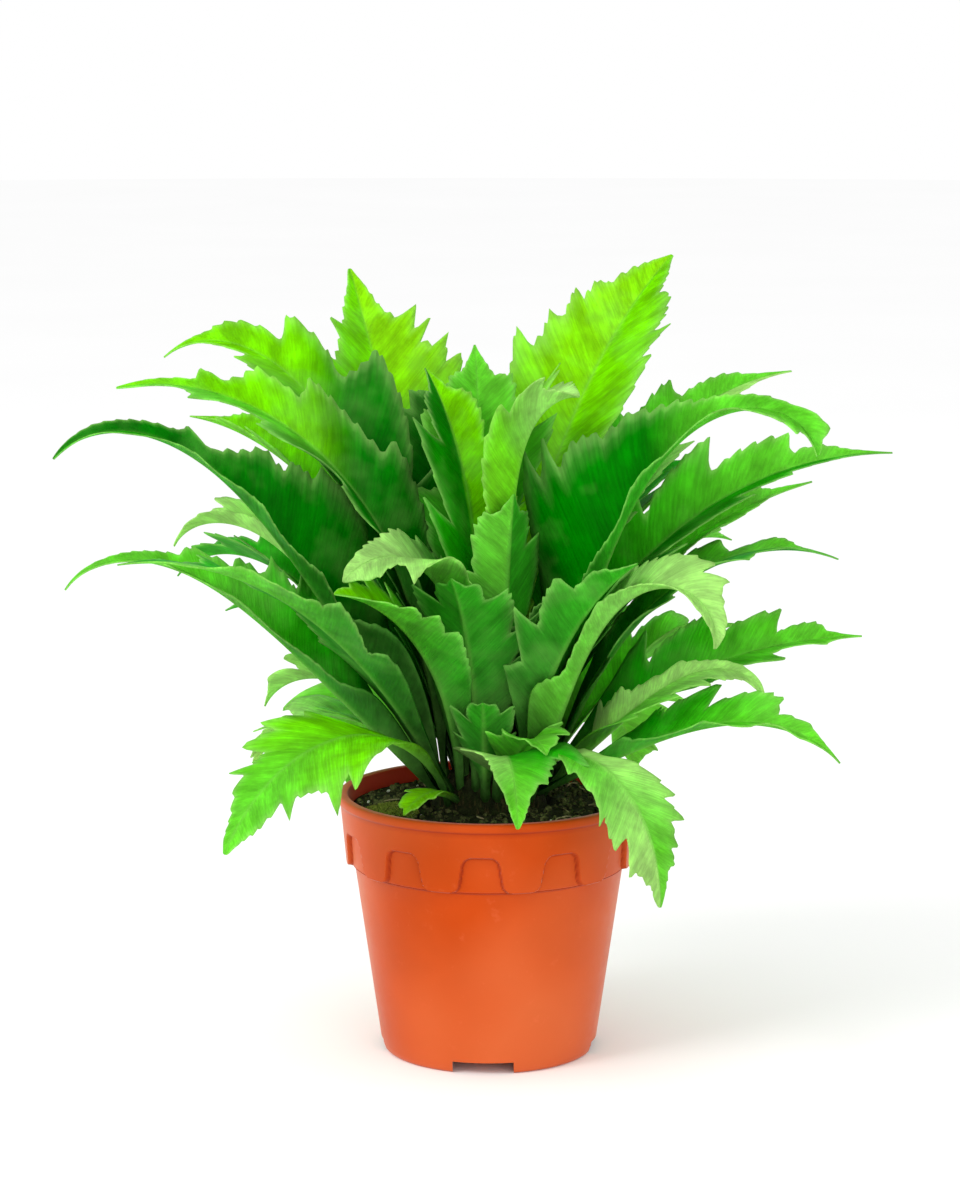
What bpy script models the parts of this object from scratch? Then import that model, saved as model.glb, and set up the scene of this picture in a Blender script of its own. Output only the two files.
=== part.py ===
"""Potted bird's nest fern: a moulded nursery pot filled with peat, a crown, and a rosette of fronds.

Run with: blender --background --python part.py
Units are metres, +Z is up. The origin is on the ground, at the centre of the pot's foot ring.
Azimuths are in degrees about +Z: 0 points along +X, 90 along +Y, and 270 to the front.
"""

import math
from collections import namedtuple

import bmesh
import bpy
from mathutils import Matrix, Vector
from mathutils.bvhtree import BVHTree

MM = 0.001
FRONT = math.radians(270.0)

# Pot: a cone with a collar round its top and a lip round its mouth.
RIM_DIAMETER = 120 * MM
POT_HEIGHT = 104 * MM
BASE_DIAMETER = 85 * MM
POT_WALL = 1.4 * MM
POT_SIDES = 44
LIP_HEIGHT = 3.2 * MM
LIP_PROUD = 0.9 * MM
COLLAR_HEIGHT = 28 * MM
COLLAR_TAPER = 2.4 * MM
COLLAR_PROUD = 3.2 * MM
COLLAR_EDGE = 1.0 * MM

# Arches pressed into the lower part of the collar, which leave rounded tabs between them.
ARCH_COUNT = 11
ARCH_HEIGHT = 14.5 * MM
ARCH_DEPTH = 2.0 * MM
ARCH_SHARE = 0.56
ARCH_NARROWING = 0.26
ARCH_CORNER = 4 * MM
PATTERN_TURN = FRONT - math.radians(3.3)

# Underside: a raised floor with drain holes, on a foot ring with water gates.
FLOOR_HEIGHT = 5.6 * MM
FLOOR_THICKNESS = 1.4 * MM
FOOT_WIDTH = 2.6 * MM
GATE_WIDTH = 24 * MM
GATE_HEIGHT = 4.9 * MM
GATE_PAIRS = 2
DRAIN_COUNT = 8
DRAIN_RADIUS = 3.6 * MM
DRAIN_RING_SHARE = 0.70

# Filling and crown.
GAP = 0.3 * MM
SOIL_DROP = 6.5 * MM
SOIL_MOUND = 2.5 * MM
SOIL_SIDES = 32
CROWN_RADIUS = 24 * MM
CROWN_STEPS = 5
CROWN_SINK = 6 * MM
MOSS_AZIMUTH = math.radians(205.0)
MOSS_LENGTH = 26 * MM
MOSS_WIDTH = 22 * MM
MOSS_THICKNESS = 2.2 * MM
MOSS_GAP = 0.7 * MM

# Fronds.
FOLIAGE_SCALE = 1.0
FROND_THICKNESS = 0.8 * MM
FROND_CLEARANCE = 0.4 * MM
STALK_WIDTH = 3.8 * MM
TIP_WIDTH = 0.8 * MM
BLADE_SHARPNESS = 5.0
STATIONS = 11
COLUMNS = 2
ROLL_BEGINS = 0.15
ROLL_ENDS = 0.55
SEARCH_STEP = math.radians(2.5)
SEARCH_RINGS = 16
CLIMB_STEP = math.radians(5.0)
CLIMB_RINGS = 4

Frond = namedtuple(
    "Frond", "azimuth seat length rise droop curl half_width peak fold roll sway"
)
# azimuth, seat (angle up the crown), length in mm, rise and droop (the midrib's angle to the ground
# at the stalk and the tip), curl (how late it bends), half width in mm, peak (where the blade is
# widest), fold of each half, roll about the midrib and sway (the turn of the azimuth at the tip).
FRONDS = [
    # Top and left side.
    Frond(54, 70, 236, 86, 28, 1.0, 28, 0.58, 30, -15, 0),
    Frond(125, 60, 208, 66, 63, 3.0, 30, 0.64, 18, 0, 0),
    Frond(222, 26, 136, 69, -61, 0.8, 23, 0.62, 10, 10, 0),
    Frond(200, 38, 227, 57, -52, 5.0, 31, 0.42, 45, 40, 0),
    Frond(197, 28, 187, 46, -58, 5.0, 21, 0.42, 40, 35, 0),
    Frond(219, 30, 194, 56, -2, 1.6, 15, 0.50, 8, 0, 0),
    Frond(172, 38, 160, 58, -70, 5.0, 18, 0.50, 30, -15, 0),
    Frond(183, 46, 225, 80, -14, 1.8, 25, 0.48, 35, 35, 0),
    Frond(160, 56, 228, 74, -40, 4.0, 21, 0.50, 30, 30, 0),
    Frond(97, 72, 165, 84, 60, 2.0, 19, 0.60, 20, 0, 0),
    Frond(76, 58, 168, 80, 60, 2.0, 19, 0.60, 25, 0, 0),
    # Right side, high to low.
    Frond(345, 46, 214, 71, -85, 4.6, 31, 0.40, 45, -40, 0),
    Frond(32, 56, 215, 84, 8, 1.4, 15, 0.50, 30, -25, 0),
    Frond(322, 34, 150, 78, -100, 3.6, 24, 0.45, 30, -15, 0),
    Frond(10, 46, 207, 77, 0, 1.2, 18, 0.46, 35, -30, 0),
    Frond(20, 40, 172, 76, 12, 0.9, 12, 0.50, 30, -20, 0),
    Frond(1, 34, 164, 72, -19, 2.0, 13, 0.50, 12, -5, 0),
    Frond(8, 28, 146, 59, 0, 0.7, 14, 0.50, 30, -30, 0),
    Frond(351, 28, 112, 43, -97, 4.8, 16, 0.50, 30, -35, 0),
    Frond(339, 28, 134, 28, -48, 3.0, 11, 0.50, 30, -20, 0),
    # Hanging over the rim and low in front.
    Frond(176, 30, 92, 58, -69, 2.3, 13, 0.55, 25, -20, 0),
    Frond(309, 28, 118, 70, -92, 0.8, 19, 0.62, 12, 0, 0),
    Frond(279, 34, 68, 74, -85, 1.0, 17, 0.60, 15, 0, 0),
    Frond(233, 26, 34, 32, -36, 1.0, 5, 0.60, 15, 0, 0),
    # Middle, facing the front.
    Frond(222, 58, 134, 89, -48, 2.0, 25, 0.48, 25, 20, 0),
    Frond(222, 44, 118, 84, 10, 1.1, 19, 0.60, 25, 25, 0),
    Frond(105, 58, 150, 78, 74, 2.0, 26, 0.60, 25, 0, 0),
    Frond(335, 76, 158, 88, -10, 7.0, 15, 0.62, 25, 0, 0),
    Frond(62, 60, 150, 72, 50, 2.0, 20, 0.62, 25, 0, 0),
    Frond(300, 60, 110, 88, 76, 2.0, 15, 0.62, 25, 0, 0),
    Frond(330, 42, 74, 86, 64, 1.5, 13, 0.66, 20, 0, 0),
    Frond(298, 30, 50, 76, -40, 1.5, 10, 0.60, 20, 0, 0),
    Frond(254, 44, 96, 86, 40, 1.5, 18, 0.56, 20, 0, 0),
    Frond(266, 30, 42, 84, 50, 1.5, 9, 0.60, 20, 0, 0),
    # Back.
    Frond(150, 28, 172, 50, -50, 3.0, 22, 0.50, 30, 0, 0),
    Frond(130, 38, 158, 60, -20, 2.0, 22, 0.50, 30, 0, 0),
    Frond(110, 28, 122, 52, -60, 3.0, 19, 0.55, 30, 0, 0),
    Frond(88, 40, 130, 70, -20, 2.0, 21, 0.50, 35, 0, 0),
    Frond(68, 28, 122, 52, -50, 3.0, 19, 0.50, 30, 0, 0),
    Frond(46, 38, 162, 56, -20, 2.0, 22, 0.50, 30, 0, 0),
    Frond(33, 28, 118, 45, -70, 3.0, 17, 0.55, 30, 0, 0),
    Frond(145, 52, 195, 70, 5, 1.8, 20, 0.55, 30, 0, 0),
    Frond(112, 46, 135, 66, 10, 2.0, 20, 0.55, 30, 0, 0),
    Frond(56, 26, 120, 65, -85, 1.0, 18, 0.60, 15, 0, 0),
    Frond(122, 26, 125, 62, -90, 1.0, 19, 0.60, 15, 0, 0),
    Frond(166, 26, 96, 58, -70, 1.2, 16, 0.60, 15, 0, 0),
    # Fillers between the rings.
    Frond(318, 50, 116, 82, 40, 1.5, 16, 0.58, 25, 0, 0),
    Frond(75, 46, 160, 76, 30, 2.0, 20, 0.58, 25, 0, 0),
    Frond(128, 48, 160, 74, 25, 2.0, 20, 0.58, 25, 0, 0),
    Frond(157, 42, 140, 66, -10, 2.0, 19, 0.55, 25, 0, 0),
    Frond(40, 46, 160, 70, 5, 2.0, 18, 0.55, 25, 0, 0),
]

# Values worked out from the ones above.
RIM_RADIUS = RIM_DIAMETER / 2
BASE_RADIUS = BASE_DIAMETER / 2
COLLAR_FOOT = POT_HEIGHT - COLLAR_HEIGHT
COLLAR_TOP_RADIUS = RIM_RADIUS - LIP_PROUD
COLLAR_FOOT_RADIUS = COLLAR_TOP_RADIUS - COLLAR_TAPER
WALL_TOP_RADIUS = COLLAR_FOOT_RADIUS - COLLAR_PROUD
FLOOR_TOP = FLOOR_HEIGHT + FLOOR_THICKNESS
SOIL_EDGE_HEIGHT = POT_HEIGHT - SOIL_DROP
SOIL_TOP_HEIGHT = SOIL_EDGE_HEIGHT + SOIL_MOUND
CROWN_HEIGHT = SOIL_TOP_HEIGHT - CROWN_SINK
CROWN_CENTRE = Vector((0.0, 0.0, CROWN_HEIGHT))


def material(name, colour, roughness):
    """A plain Principled material."""
    made = bpy.data.materials.new(name)
    made.use_nodes = True
    shader = made.node_tree.nodes["Principled BSDF"]
    shader.inputs["Base Color"].default_value = (*colour, 1.0)
    shader.inputs["Roughness"].default_value = roughness
    shader.inputs["Metallic"].default_value = 0.0
    return made


def new_object(name, bm, finish, smooth=True):
    """Turns a bmesh into a named object in the scene."""
    mesh = bpy.data.meshes.new(name)
    bm.to_mesh(mesh)
    bm.free()
    if smooth:
        mesh.shade_smooth()
        mesh.set_sharp_from_angle(angle=math.radians(35.0))
    made = bpy.data.objects.new(name, mesh)
    made.data.materials.append(finish)
    bpy.context.scene.collection.objects.link(made)
    return made


def spun(profile, sides, closed):
    """A bmesh turned about Z from (radius, height) points. A closed profile makes a ring."""
    bm = bmesh.new()
    verts = [bm.verts.new((radius, 0.0, height)) for radius, height in profile]
    edges = [bm.edges.new(pair) for pair in zip(verts, verts[1:])]
    if closed:
        edges.append(bm.edges.new((verts[-1], verts[0])))
    bmesh.ops.spin(
        bm,
        geom=verts + edges,
        cent=(0, 0, 0),
        axis=(0, 0, 1),
        angle=math.tau,
        steps=sides,
        use_merge=True,
    )
    bmesh.ops.remove_doubles(bm, verts=bm.verts, dist=0.01 * MM)
    bmesh.ops.recalc_face_normals(bm, faces=bm.faces)
    return bm


def cut(target, cutter):
    """Takes the cutter out of the target with a Boolean modifier."""
    cutter.hide_render = True
    cutter.display_type = "WIRE"
    boolean = target.modifiers.new(cutter.name, "BOOLEAN")
    boolean.operation = "DIFFERENCE"
    boolean.object = cutter


def wall_radius(height):
    """Outer radius of the plain wall at a height, from the ground to the collar."""
    share = height / COLLAR_FOOT
    return BASE_RADIUS + (WALL_TOP_RADIUS - BASE_RADIUS) * share


def collar_radius(height):
    """Outer radius of the collar at a height."""
    share = (height - COLLAR_FOOT) / (POT_HEIGHT - LIP_HEIGHT - COLLAR_FOOT)
    return COLLAR_FOOT_RADIUS + (COLLAR_TOP_RADIUS - COLLAR_FOOT_RADIUS) * share


def inner_collar_radius(height):
    """Inner radius behind the collar, which leaves the wall whole behind the arches."""
    return collar_radius(height) - ARCH_DEPTH - POT_WALL


def pot_profile():
    """The pot's closed section, from the middle drain hole round the outside and back inside."""
    lip_foot = POT_HEIGHT - LIP_HEIGHT
    inner_ledge = COLLAR_FOOT + COLLAR_EDGE
    return [
        (DRAIN_RADIUS, FLOOR_HEIGHT),
        (BASE_RADIUS - FOOT_WIDTH, FLOOR_HEIGHT),
        (BASE_RADIUS - FOOT_WIDTH, 0.0),
        (BASE_RADIUS - 0.4 * FOOT_WIDTH, 0.0),
        (wall_radius(0.4 * FOOT_WIDTH), 0.4 * FOOT_WIDTH),
        (WALL_TOP_RADIUS, COLLAR_FOOT - COLLAR_EDGE),
        (COLLAR_FOOT_RADIUS, COLLAR_FOOT),
        (COLLAR_TOP_RADIUS, lip_foot - COLLAR_EDGE),
        (RIM_RADIUS, lip_foot),
        (RIM_RADIUS, POT_HEIGHT - COLLAR_EDGE),
        (RIM_RADIUS - COLLAR_EDGE, POT_HEIGHT),
        (inner_collar_radius(POT_HEIGHT), POT_HEIGHT),
        (inner_collar_radius(inner_ledge), inner_ledge),
        (wall_radius(COLLAR_FOOT) - POT_WALL, COLLAR_FOOT - COLLAR_EDGE),
        (wall_radius(FLOOR_TOP) - POT_WALL, FLOOR_TOP),
        (DRAIN_RADIUS, FLOOR_TOP),
    ]


def arch_cutters():
    """Curved blocks with rounded tops, one for each arch round the collar."""
    bm = bmesh.new()
    pitch = math.tau / ARCH_COUNT
    half = pitch * ARCH_SHARE / 2
    columns = (-1.0, -0.94, -0.78, -0.4, 0.0, 0.4, 0.78, 0.94, 1.0)
    floor = COLLAR_FOOT - 2 * COLLAR_EDGE
    for index in range(ARCH_COUNT):
        middle = PATTERN_TURN + index * pitch
        rows = []
        for top in (False, True):
            row = []
            for across in columns:
                edge = max(0.0, (abs(across) - 0.7) / 0.3)
                rounding = ARCH_CORNER * (1 - math.sqrt(1 - min(1.0, edge) ** 2))
                height = COLLAR_FOOT + ARCH_HEIGHT - rounding if top else floor
                narrowing = 1 - ARCH_NARROWING if top else 1.0
                turn = middle + half * across * narrowing
                radius = collar_radius(height) - ARCH_DEPTH
                spot = (radius * math.cos(turn), radius * math.sin(turn), height)
                row.append(bm.verts.new(spot))
            rows.append(row)
        for left in range(len(columns) - 1):
            low, high = rows
            bm.faces.new((low[left], low[left + 1], high[left + 1], high[left]))
    inner = list(bm.faces)
    outer = bmesh.ops.extrude_face_region(bm, geom=inner)["geom"]
    reach = (RIM_RADIUS + 4 * ARCH_DEPTH) / (COLLAR_FOOT_RADIUS - ARCH_DEPTH)
    for vert in (item for item in outer if isinstance(item, bmesh.types.BMVert)):
        vert.co.x *= reach
        vert.co.y *= reach
    bmesh.ops.recalc_face_normals(bm, faces=bm.faces)
    return new_object("arch_cutters", bm, bpy.data.materials["terracotta_plastic"])


def gate_cutter(index):
    """A bar across the foot ring that opens two opposite water gates."""
    turn = Matrix.Rotation(PATTERN_TURN + index * math.pi / GATE_PAIRS, 4, "Z")
    size = Matrix.Diagonal((3 * BASE_DIAMETER, GATE_WIDTH, 2 * GATE_HEIGHT, 1.0))
    bm = bmesh.new()
    bmesh.ops.create_cube(bm, size=1.0, matrix=turn @ size)
    return new_object(f"gate_cutter_{index}", bm, bpy.data.materials["terracotta_plastic"])


def drain_cutters():
    """Round pegs on a ring, one for each drain hole."""
    bm = bmesh.new()
    ring = BASE_RADIUS * DRAIN_RING_SHARE
    for index in range(DRAIN_COUNT):
        turn = PATTERN_TURN + (index + 0.5) * math.tau / DRAIN_COUNT
        spot = Vector((ring * math.cos(turn), ring * math.sin(turn), FLOOR_TOP))
        bmesh.ops.create_cone(
            bm,
            cap_ends=True,
            segments=12,
            radius1=DRAIN_RADIUS,
            radius2=DRAIN_RADIUS,
            depth=4 * FLOOR_THICKNESS,
            matrix=Matrix.Translation(spot),
        )
    return new_object("drain_cutters", bm, bpy.data.materials["terracotta_plastic"])


def make_pot():
    """The moulded pot with its arches, water gates and drain holes."""
    finish = material("terracotta_plastic", (0.80, 0.12, 0.02), 0.45)
    pot = new_object("pot", spun(pot_profile(), POT_SIDES, closed=True), finish)
    cut(pot, arch_cutters())
    for index in range(GATE_PAIRS):
        cut(pot, gate_cutter(index))
    cut(pot, drain_cutters())
    return pot


def soil_height(radius):
    """Height of the soil's surface, which rises a little from the wall to the crown."""
    edge = inner_collar_radius(SOIL_EDGE_HEIGHT)
    share = max(0.0, 1 - radius / edge)
    return SOIL_EDGE_HEIGHT + SOIL_MOUND * math.sin(min(1.0, 1.6 * share) * math.pi / 2)


def make_soil():
    """The root ball: it fills the pot, and its top is dished to seat the crown."""
    seat = CROWN_RADIUS + GAP
    base = FLOOR_TOP + GAP
    ledge = COLLAR_FOOT + COLLAR_EDGE
    profile = [
        (0.0, base),
        (wall_radius(base) - POT_WALL - GAP, base),
        (wall_radius(COLLAR_FOOT) - POT_WALL - 2 * GAP, COLLAR_FOOT - COLLAR_EDGE),
        (inner_collar_radius(ledge) - 2 * GAP, ledge),
        (inner_collar_radius(SOIL_EDGE_HEIGHT) - GAP, SOIL_EDGE_HEIGHT),
    ]
    outer = inner_collar_radius(SOIL_EDGE_HEIGHT) - GAP
    rim_of_seat = seat * math.cos(math.asin(CROWN_SINK / seat))
    for step in range(1, 5):
        radius = outer + (rim_of_seat - outer) * step / 4
        profile.append((radius, soil_height(radius)))
    for step in range(CROWN_STEPS + 1):
        angle = math.pi / 2 * step / CROWN_STEPS
        profile.append((seat * math.cos(angle), CROWN_HEIGHT - seat * math.sin(angle)))
    finish = material("peat", (0.03, 0.022, 0.015), 0.95)
    return new_object("soil", spun(profile, SOIL_SIDES, closed=False), finish)


def make_crown():
    """The short rhizome that the stalks grow from."""
    profile = []
    for step in range(-CROWN_STEPS, CROWN_STEPS + 1):
        angle = math.pi / 2 * step / CROWN_STEPS
        height = CROWN_HEIGHT + CROWN_RADIUS * math.sin(angle)
        profile.append((CROWN_RADIUS * math.cos(angle), height))
    finish = material("crown_scale", (0.05, 0.04, 0.02), 0.9)
    return new_object("crown", spun(profile, SOIL_SIDES, closed=False), finish)


def make_moss():
    """A low cushion of moss on the soil, near the wall."""
    reach = inner_collar_radius(SOIL_EDGE_HEIGHT) - MOSS_WIDTH / 2 - 4 * GAP
    centre = Vector((math.cos(MOSS_AZIMUTH), math.sin(MOSS_AZIMUTH), 0.0)) * reach
    along = Vector((-math.sin(MOSS_AZIMUTH), math.cos(MOSS_AZIMUTH), 0.0))
    bm = bmesh.new()
    bmesh.ops.create_grid(bm, x_segments=6, y_segments=6, size=1.0)
    for vert in bm.verts:
        square = vert.co.copy()
        rounding = math.sqrt(1 - 0.5 * square.y**2), math.sqrt(1 - 0.5 * square.x**2)
        spot = (
            centre
            + along * square.x * rounding[0] * MOSS_LENGTH / 2
            + centre.normalized() * square.y * rounding[1] * MOSS_WIDTH / 2
        )
        spot.z = soil_height(spot.xy.length) + MOSS_GAP
        vert.co = spot
    bmesh.ops.recalc_face_normals(bm, faces=bm.faces)
    moss = new_object("moss_patch", bm, material("moss", (0.12, 0.16, 0.03), 0.95))
    shell = moss.modifiers.new("thickness", "SOLIDIFY")
    shell.thickness = MOSS_THICKNESS
    shell.offset = 1.0 if moss.data.polygons[0].normal.z > 0 else -1.0
    return moss


def blade_share(along, peak):
    """Share of the blade's half width at a point along the frond: 1 at the peak, 0 at the ends."""
    rise = BLADE_SHARPNESS * peak
    fall = BLADE_SHARPNESS * (1 - peak)
    return (along / peak) ** rise * ((1 - along) / (1 - peak)) ** fall


def half_width(frond, along):
    """Half width of the frond: the stalk runs into the blade, and the blade into the tip."""
    stalk = STALK_WIDTH / 2 * (1 - along)
    blade = frond.half_width * MM * FOLIAGE_SCALE * blade_share(along, frond.peak)
    return math.hypot(stalk, blade) + TIP_WIDTH / 2 * along


def smooth_step(value, low, high):
    share = min(1.0, max(0.0, (value - low) / (high - low)))
    return share * share * (3 - 2 * share)


def frond_sheet(frond, place, margin=0.0):
    """The frond's midrib and edges as rows of points, moved from its drawn place by three angles."""
    turn, lean, climb = place
    azimuth = math.radians(frond.azimuth) + turn
    rise = math.radians(frond.rise) + lean
    droop = math.radians(frond.droop) + lean
    seat = math.radians(frond.seat) + climb
    outward = Vector((math.cos(azimuth), math.sin(azimuth), 0.0))
    reach = CROWN_RADIUS + GAP + FROND_THICKNESS
    spot = CROWN_CENTRE + reach * (outward * math.cos(seat) + Vector((0, 0, math.sin(seat))))
    substeps = 6
    steps = substeps * (STATIONS - 1)
    length = frond.length * MM * FOLIAGE_SCALE
    rows = []
    for step in range(steps + 1):
        along = step / steps
        pitch = rise + (droop - rise) * along**frond.curl
        heading = azimuth + math.radians(frond.sway) * along**2
        forward = Vector((math.cos(heading), math.sin(heading), 0.0))
        side = Vector((-math.sin(heading), math.cos(heading), 0.0))
        tangent = forward * math.cos(pitch) + Vector((0, 0, math.sin(pitch)))
        normal = Vector((0, 0, math.cos(pitch))) - forward * math.sin(pitch)
        if step % substeps == 0:
            opened = smooth_step(along, ROLL_BEGINS, ROLL_ENDS)
            roll = math.radians(frond.roll) * opened
            fold = math.radians(frond.fold)
            half = half_width(frond, along) + margin
            row = []
            for column in range(COLUMNS + 1):
                across = 2 * column / COLUMNS - 1
                angle = fold * abs(across) - roll * math.copysign(1, across)
                outwards = side * math.copysign(math.cos(angle), across)
                row.append(spot + (outwards + normal * math.sin(angle)) * half * abs(across))
            rows.append(row)
        spot = spot + tangent * length / steps
    return rows


def sheet_faces():
    """The triangles between the rows of a frond's points, as indices, mirrored about the midrib."""
    width = COLUMNS + 1
    faces = []
    for row in range(STATIONS - 1):
        for column in range(COLUMNS):
            low = row * width + column
            high = low + width
            if column < COLUMNS / 2:
                faces += [(low, high, low + 1), (low + 1, high, high + 1)]
            else:
                faces += [(low, high + 1, low + 1), (low, high, high + 1)]
    return faces


def sheet_bmesh(rows):
    """A bmesh grid laid onto the frond's points, with its faces pointing up from the midrib."""
    bm = bmesh.new()
    verts = [bm.verts.new(spot) for row in rows for spot in row]
    for face in sheet_faces():
        bm.faces.new([verts[i] for i in face])
    bm.verts.index_update()
    bm.normal_update()
    return bm


def envelope(bm, distance):
    """A search tree of the closed solid made by giving the sheet a distance to both sides."""
    count = len(bm.verts)
    points = [vert.co + vert.normal * distance for vert in bm.verts]
    points += [vert.co - vert.normal * distance for vert in bm.verts]
    faces = []
    for face in bm.faces:
        polygon = [vert.index for vert in face.verts]
        faces += [polygon, [count + i for i in polygon]]
    for edge in bm.edges:
        if edge.is_boundary:
            first, last = (vert.index for vert in edge.verts)
            faces.append([first, last, count + last, count + first])
    return BVHTree.FromPolygons(points, faces)


def search_order():
    """Turns, leans and climbs up the crown to try, nearest to the drawn place first."""
    reach = range(-SEARCH_RINGS, SEARCH_RINGS + 1)
    climbs = range(-CLIMB_RINGS, CLIMB_RINGS + 1)
    tries = [
        (turn * SEARCH_STEP, lean * SEARCH_STEP, climb * CLIMB_STEP)
        for turn in reach
        for lean in reach
        for climb in climbs
    ]
    return sorted(tries, key=lambda place: (round(math.hypot(*place), 6), place))


def clears(frond, place, standing):
    """Whether a frond in a place keeps its clearance to everything that already stands."""
    bm = sheet_bmesh(frond_sheet(frond, place, FROND_CLEARANCE))
    wanted = envelope(bm, FROND_THICKNESS / 2 + FROND_CLEARANCE)
    bm.free()
    return not any(wanted.overlap(other) for other in standing)


def make_fronds(standing):
    """Every frond in its drawn place, or in the nearest one that clears what already stands."""
    finish = material("leaf", (0.06, 0.35, 0.02), 0.45)
    places = search_order()
    for number, frond in enumerate(FRONDS, start=1):
        place = next((place for place in places if clears(frond, place, standing)), None)
        if place is None:
            raise RuntimeError(f"frond {number} finds no clear place")
        if place != places[0]:
            print(f"frond {number} moved", *(f"{math.degrees(angle):.1f}" for angle in place))
        bm = sheet_bmesh(frond_sheet(frond, place))
        standing.append(envelope(bm, FROND_THICKNESS / 2))
        blade = new_object(f"frond_{number:02d}", bm, finish)
        shell = blade.modifiers.new("thickness", "SOLIDIFY")
        shell.thickness = FROND_THICKNESS
        shell.offset = 0.0


def tree_of(made):
    """A search tree of an object's own mesh, before its modifiers."""
    corners = [vert.co for vert in made.data.vertices]
    polygons = [tuple(polygon.vertices) for polygon in made.data.polygons]
    return BVHTree.FromPolygons(corners, polygons)


def main():
    for old in list(bpy.data.objects):
        bpy.data.objects.remove(old)
    pot = make_pot()
    soil = make_soil()
    crown = make_crown()
    moss = make_moss()
    make_fronds([tree_of(made) for made in (pot, soil, crown, moss)])


main()
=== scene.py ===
"""Looks of the potted bird's nest fern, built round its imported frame.

Units are metres. +X is to the right, +Z is up, and the front faces -Y. Angles are in degrees about +Z.
"""

import math
import random
from collections import namedtuple

import bmesh
import bpy
from mathutils import Matrix, Vector, noise
from mathutils.bvhtree import BVHTree


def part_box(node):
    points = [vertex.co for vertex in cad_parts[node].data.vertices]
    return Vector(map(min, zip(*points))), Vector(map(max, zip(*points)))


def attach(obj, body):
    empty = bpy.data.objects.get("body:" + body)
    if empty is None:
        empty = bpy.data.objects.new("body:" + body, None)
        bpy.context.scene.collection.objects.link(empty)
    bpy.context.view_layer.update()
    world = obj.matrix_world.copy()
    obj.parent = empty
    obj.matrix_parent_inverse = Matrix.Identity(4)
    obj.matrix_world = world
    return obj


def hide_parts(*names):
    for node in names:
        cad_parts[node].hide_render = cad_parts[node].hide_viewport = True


bl_info = {
    "name": "Potted bird's nest fern",
    "version": (1, 0, 0),
    "blender": (4, 5, 0),
    "location": "View3D > Sidebar > Fern",
    "description": "Builds the fronds, crown, soil, moss and pot of a potted fern",
    "category": "Object",
}

MM = 0.001
BODY = "root"
SEED = 11

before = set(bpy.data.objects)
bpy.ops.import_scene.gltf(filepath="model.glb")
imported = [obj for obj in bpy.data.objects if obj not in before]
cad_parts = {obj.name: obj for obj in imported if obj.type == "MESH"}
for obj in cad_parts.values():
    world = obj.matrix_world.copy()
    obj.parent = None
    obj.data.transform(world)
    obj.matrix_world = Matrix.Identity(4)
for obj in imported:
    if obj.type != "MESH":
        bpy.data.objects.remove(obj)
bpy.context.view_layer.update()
POT_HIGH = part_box("pot")[1]
CROWN_LOW, CROWN_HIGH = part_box("crown")

# Fixed proportions of the pot.
COLLAR_HEIGHT = 28 * MM
COLLAR_TAPER = 2.4 * MM
COLLAR_PROUD = 3.2 * MM
LIP_HEIGHT = 3.2 * MM
LIP_PROUD = 0.9 * MM
ARCH_COUNT = 11
ARCH_HEIGHT = 14.5 * MM
ARCH_SHARE = 0.56
ARCH_NARROWING = 0.26
ARCH_FLARE = 3.2 * MM
ARCH_CORNER = 3.6 * MM
ARCH_ROWS = 34
WALL_ROWS = 8
PATTERN_TURN = math.radians(270 - 3.3)
FLOOR_HEIGHT = 5.6 * MM
FLOOR_THICKNESS = 1.4 * MM
FOOT_WIDTH = 2.6 * MM
GATE_WIDTH = 24 * MM
GATE_HEIGHT = 4.9 * MM
GATE_PAIRS = 2
DRAIN_COUNT = 8
DRAIN_RADIUS = 3.6 * MM
DRAIN_RING_SHARE = 0.70
SOIL_DROP = 6.5 * MM
SOIL_MOUND = 2.5 * MM
SOIL_GAP = 0.3 * MM
SOIL_RINGS = 52
SOIL_SIDES = 260
MOSS_AZIMUTH = math.radians(205)
MOSS_LENGTH = 26 * MM
MOSS_WIDTH = 22 * MM
SHARP_ANGLE = math.radians(38)
FIBRE_STEPS = 7
# The straw that lies in front: its azimuth, radius, heading and length.
FRONT_STRAW = (math.radians(285), 50 * MM, math.radians(-12), 10 * MM)

# Painted shade on the pot, dark along the creases of the collar, lip and arches and a deeper red on the inner wall: the
# attribute that says where, the strength and the colour.
POT_PAINTED_SHADES = (("crease", 0.80, (0.26, 0.016, 0.003)), ("inside", 0.85, (0.56, 0.012, 0.004)))

# The stage: each light's name, place and size, where they point, and the camera.
LIGHTS = (("key", (-1.00, -0.70, 1.05), 0.7), ("fill", (0.35, -1.20, 0.45), 1.0))
LIT_SPOT = (0, 0, 0.16)
SENSOR_HEIGHT = 36.0
FOCAL_LENGTH = 110.58
CAMERA_SPOT = (-0.003543, -1.43, 0.429)
CAMERA_AIM = (-0.003543, 0.0, 0.181)

# How the fronds stand on the crown.
CROWN_RADIUS = (CROWN_HIGH.x - CROWN_LOW.x) / 2
CROWN_CENTRE = Vector((0, 0, (CROWN_LOW.z + CROWN_HIGH.z) / 2))
ROOT_REACH = CROWN_RADIUS + 1.1 * MM
STALK_WIDTH = 3.8 * MM
STALK_SUNK = 4.0 * MM
TIP_WIDTH = 0.8 * MM
BLADE_SHARPNESS = 5.0
FULL_SHARPNESS = 3.2
FULL_WIDTH = 1.22
ROLL_BEGINS = 0.15
ROLL_ENDS = 0.55
RULE_STEPS = 60
HIDDEN_SHARE = 0.34
# Strength of the painted highlight along the margins.
EDGE_PAINTED_HIGHLIGHT = 0.42
GENERIC_WAVE = 1.7
VEIN_ANGLE = math.radians(40)
TOOTH_PITCH = 6.2 * MM
TOOTH_SIZE = 2.4 * MM
TOOTH_TIP = 0.75
TOOTH_MIDDLE = 0.4
TOOTHED_WIDTH = 14 * MM
WAVED_WIDTH = 12 * MM
CLEAR_OUT = 1.2 * MM
VEIN_START = 0.5 * MM
PROBE_LENGTH = 7 * MM
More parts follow.
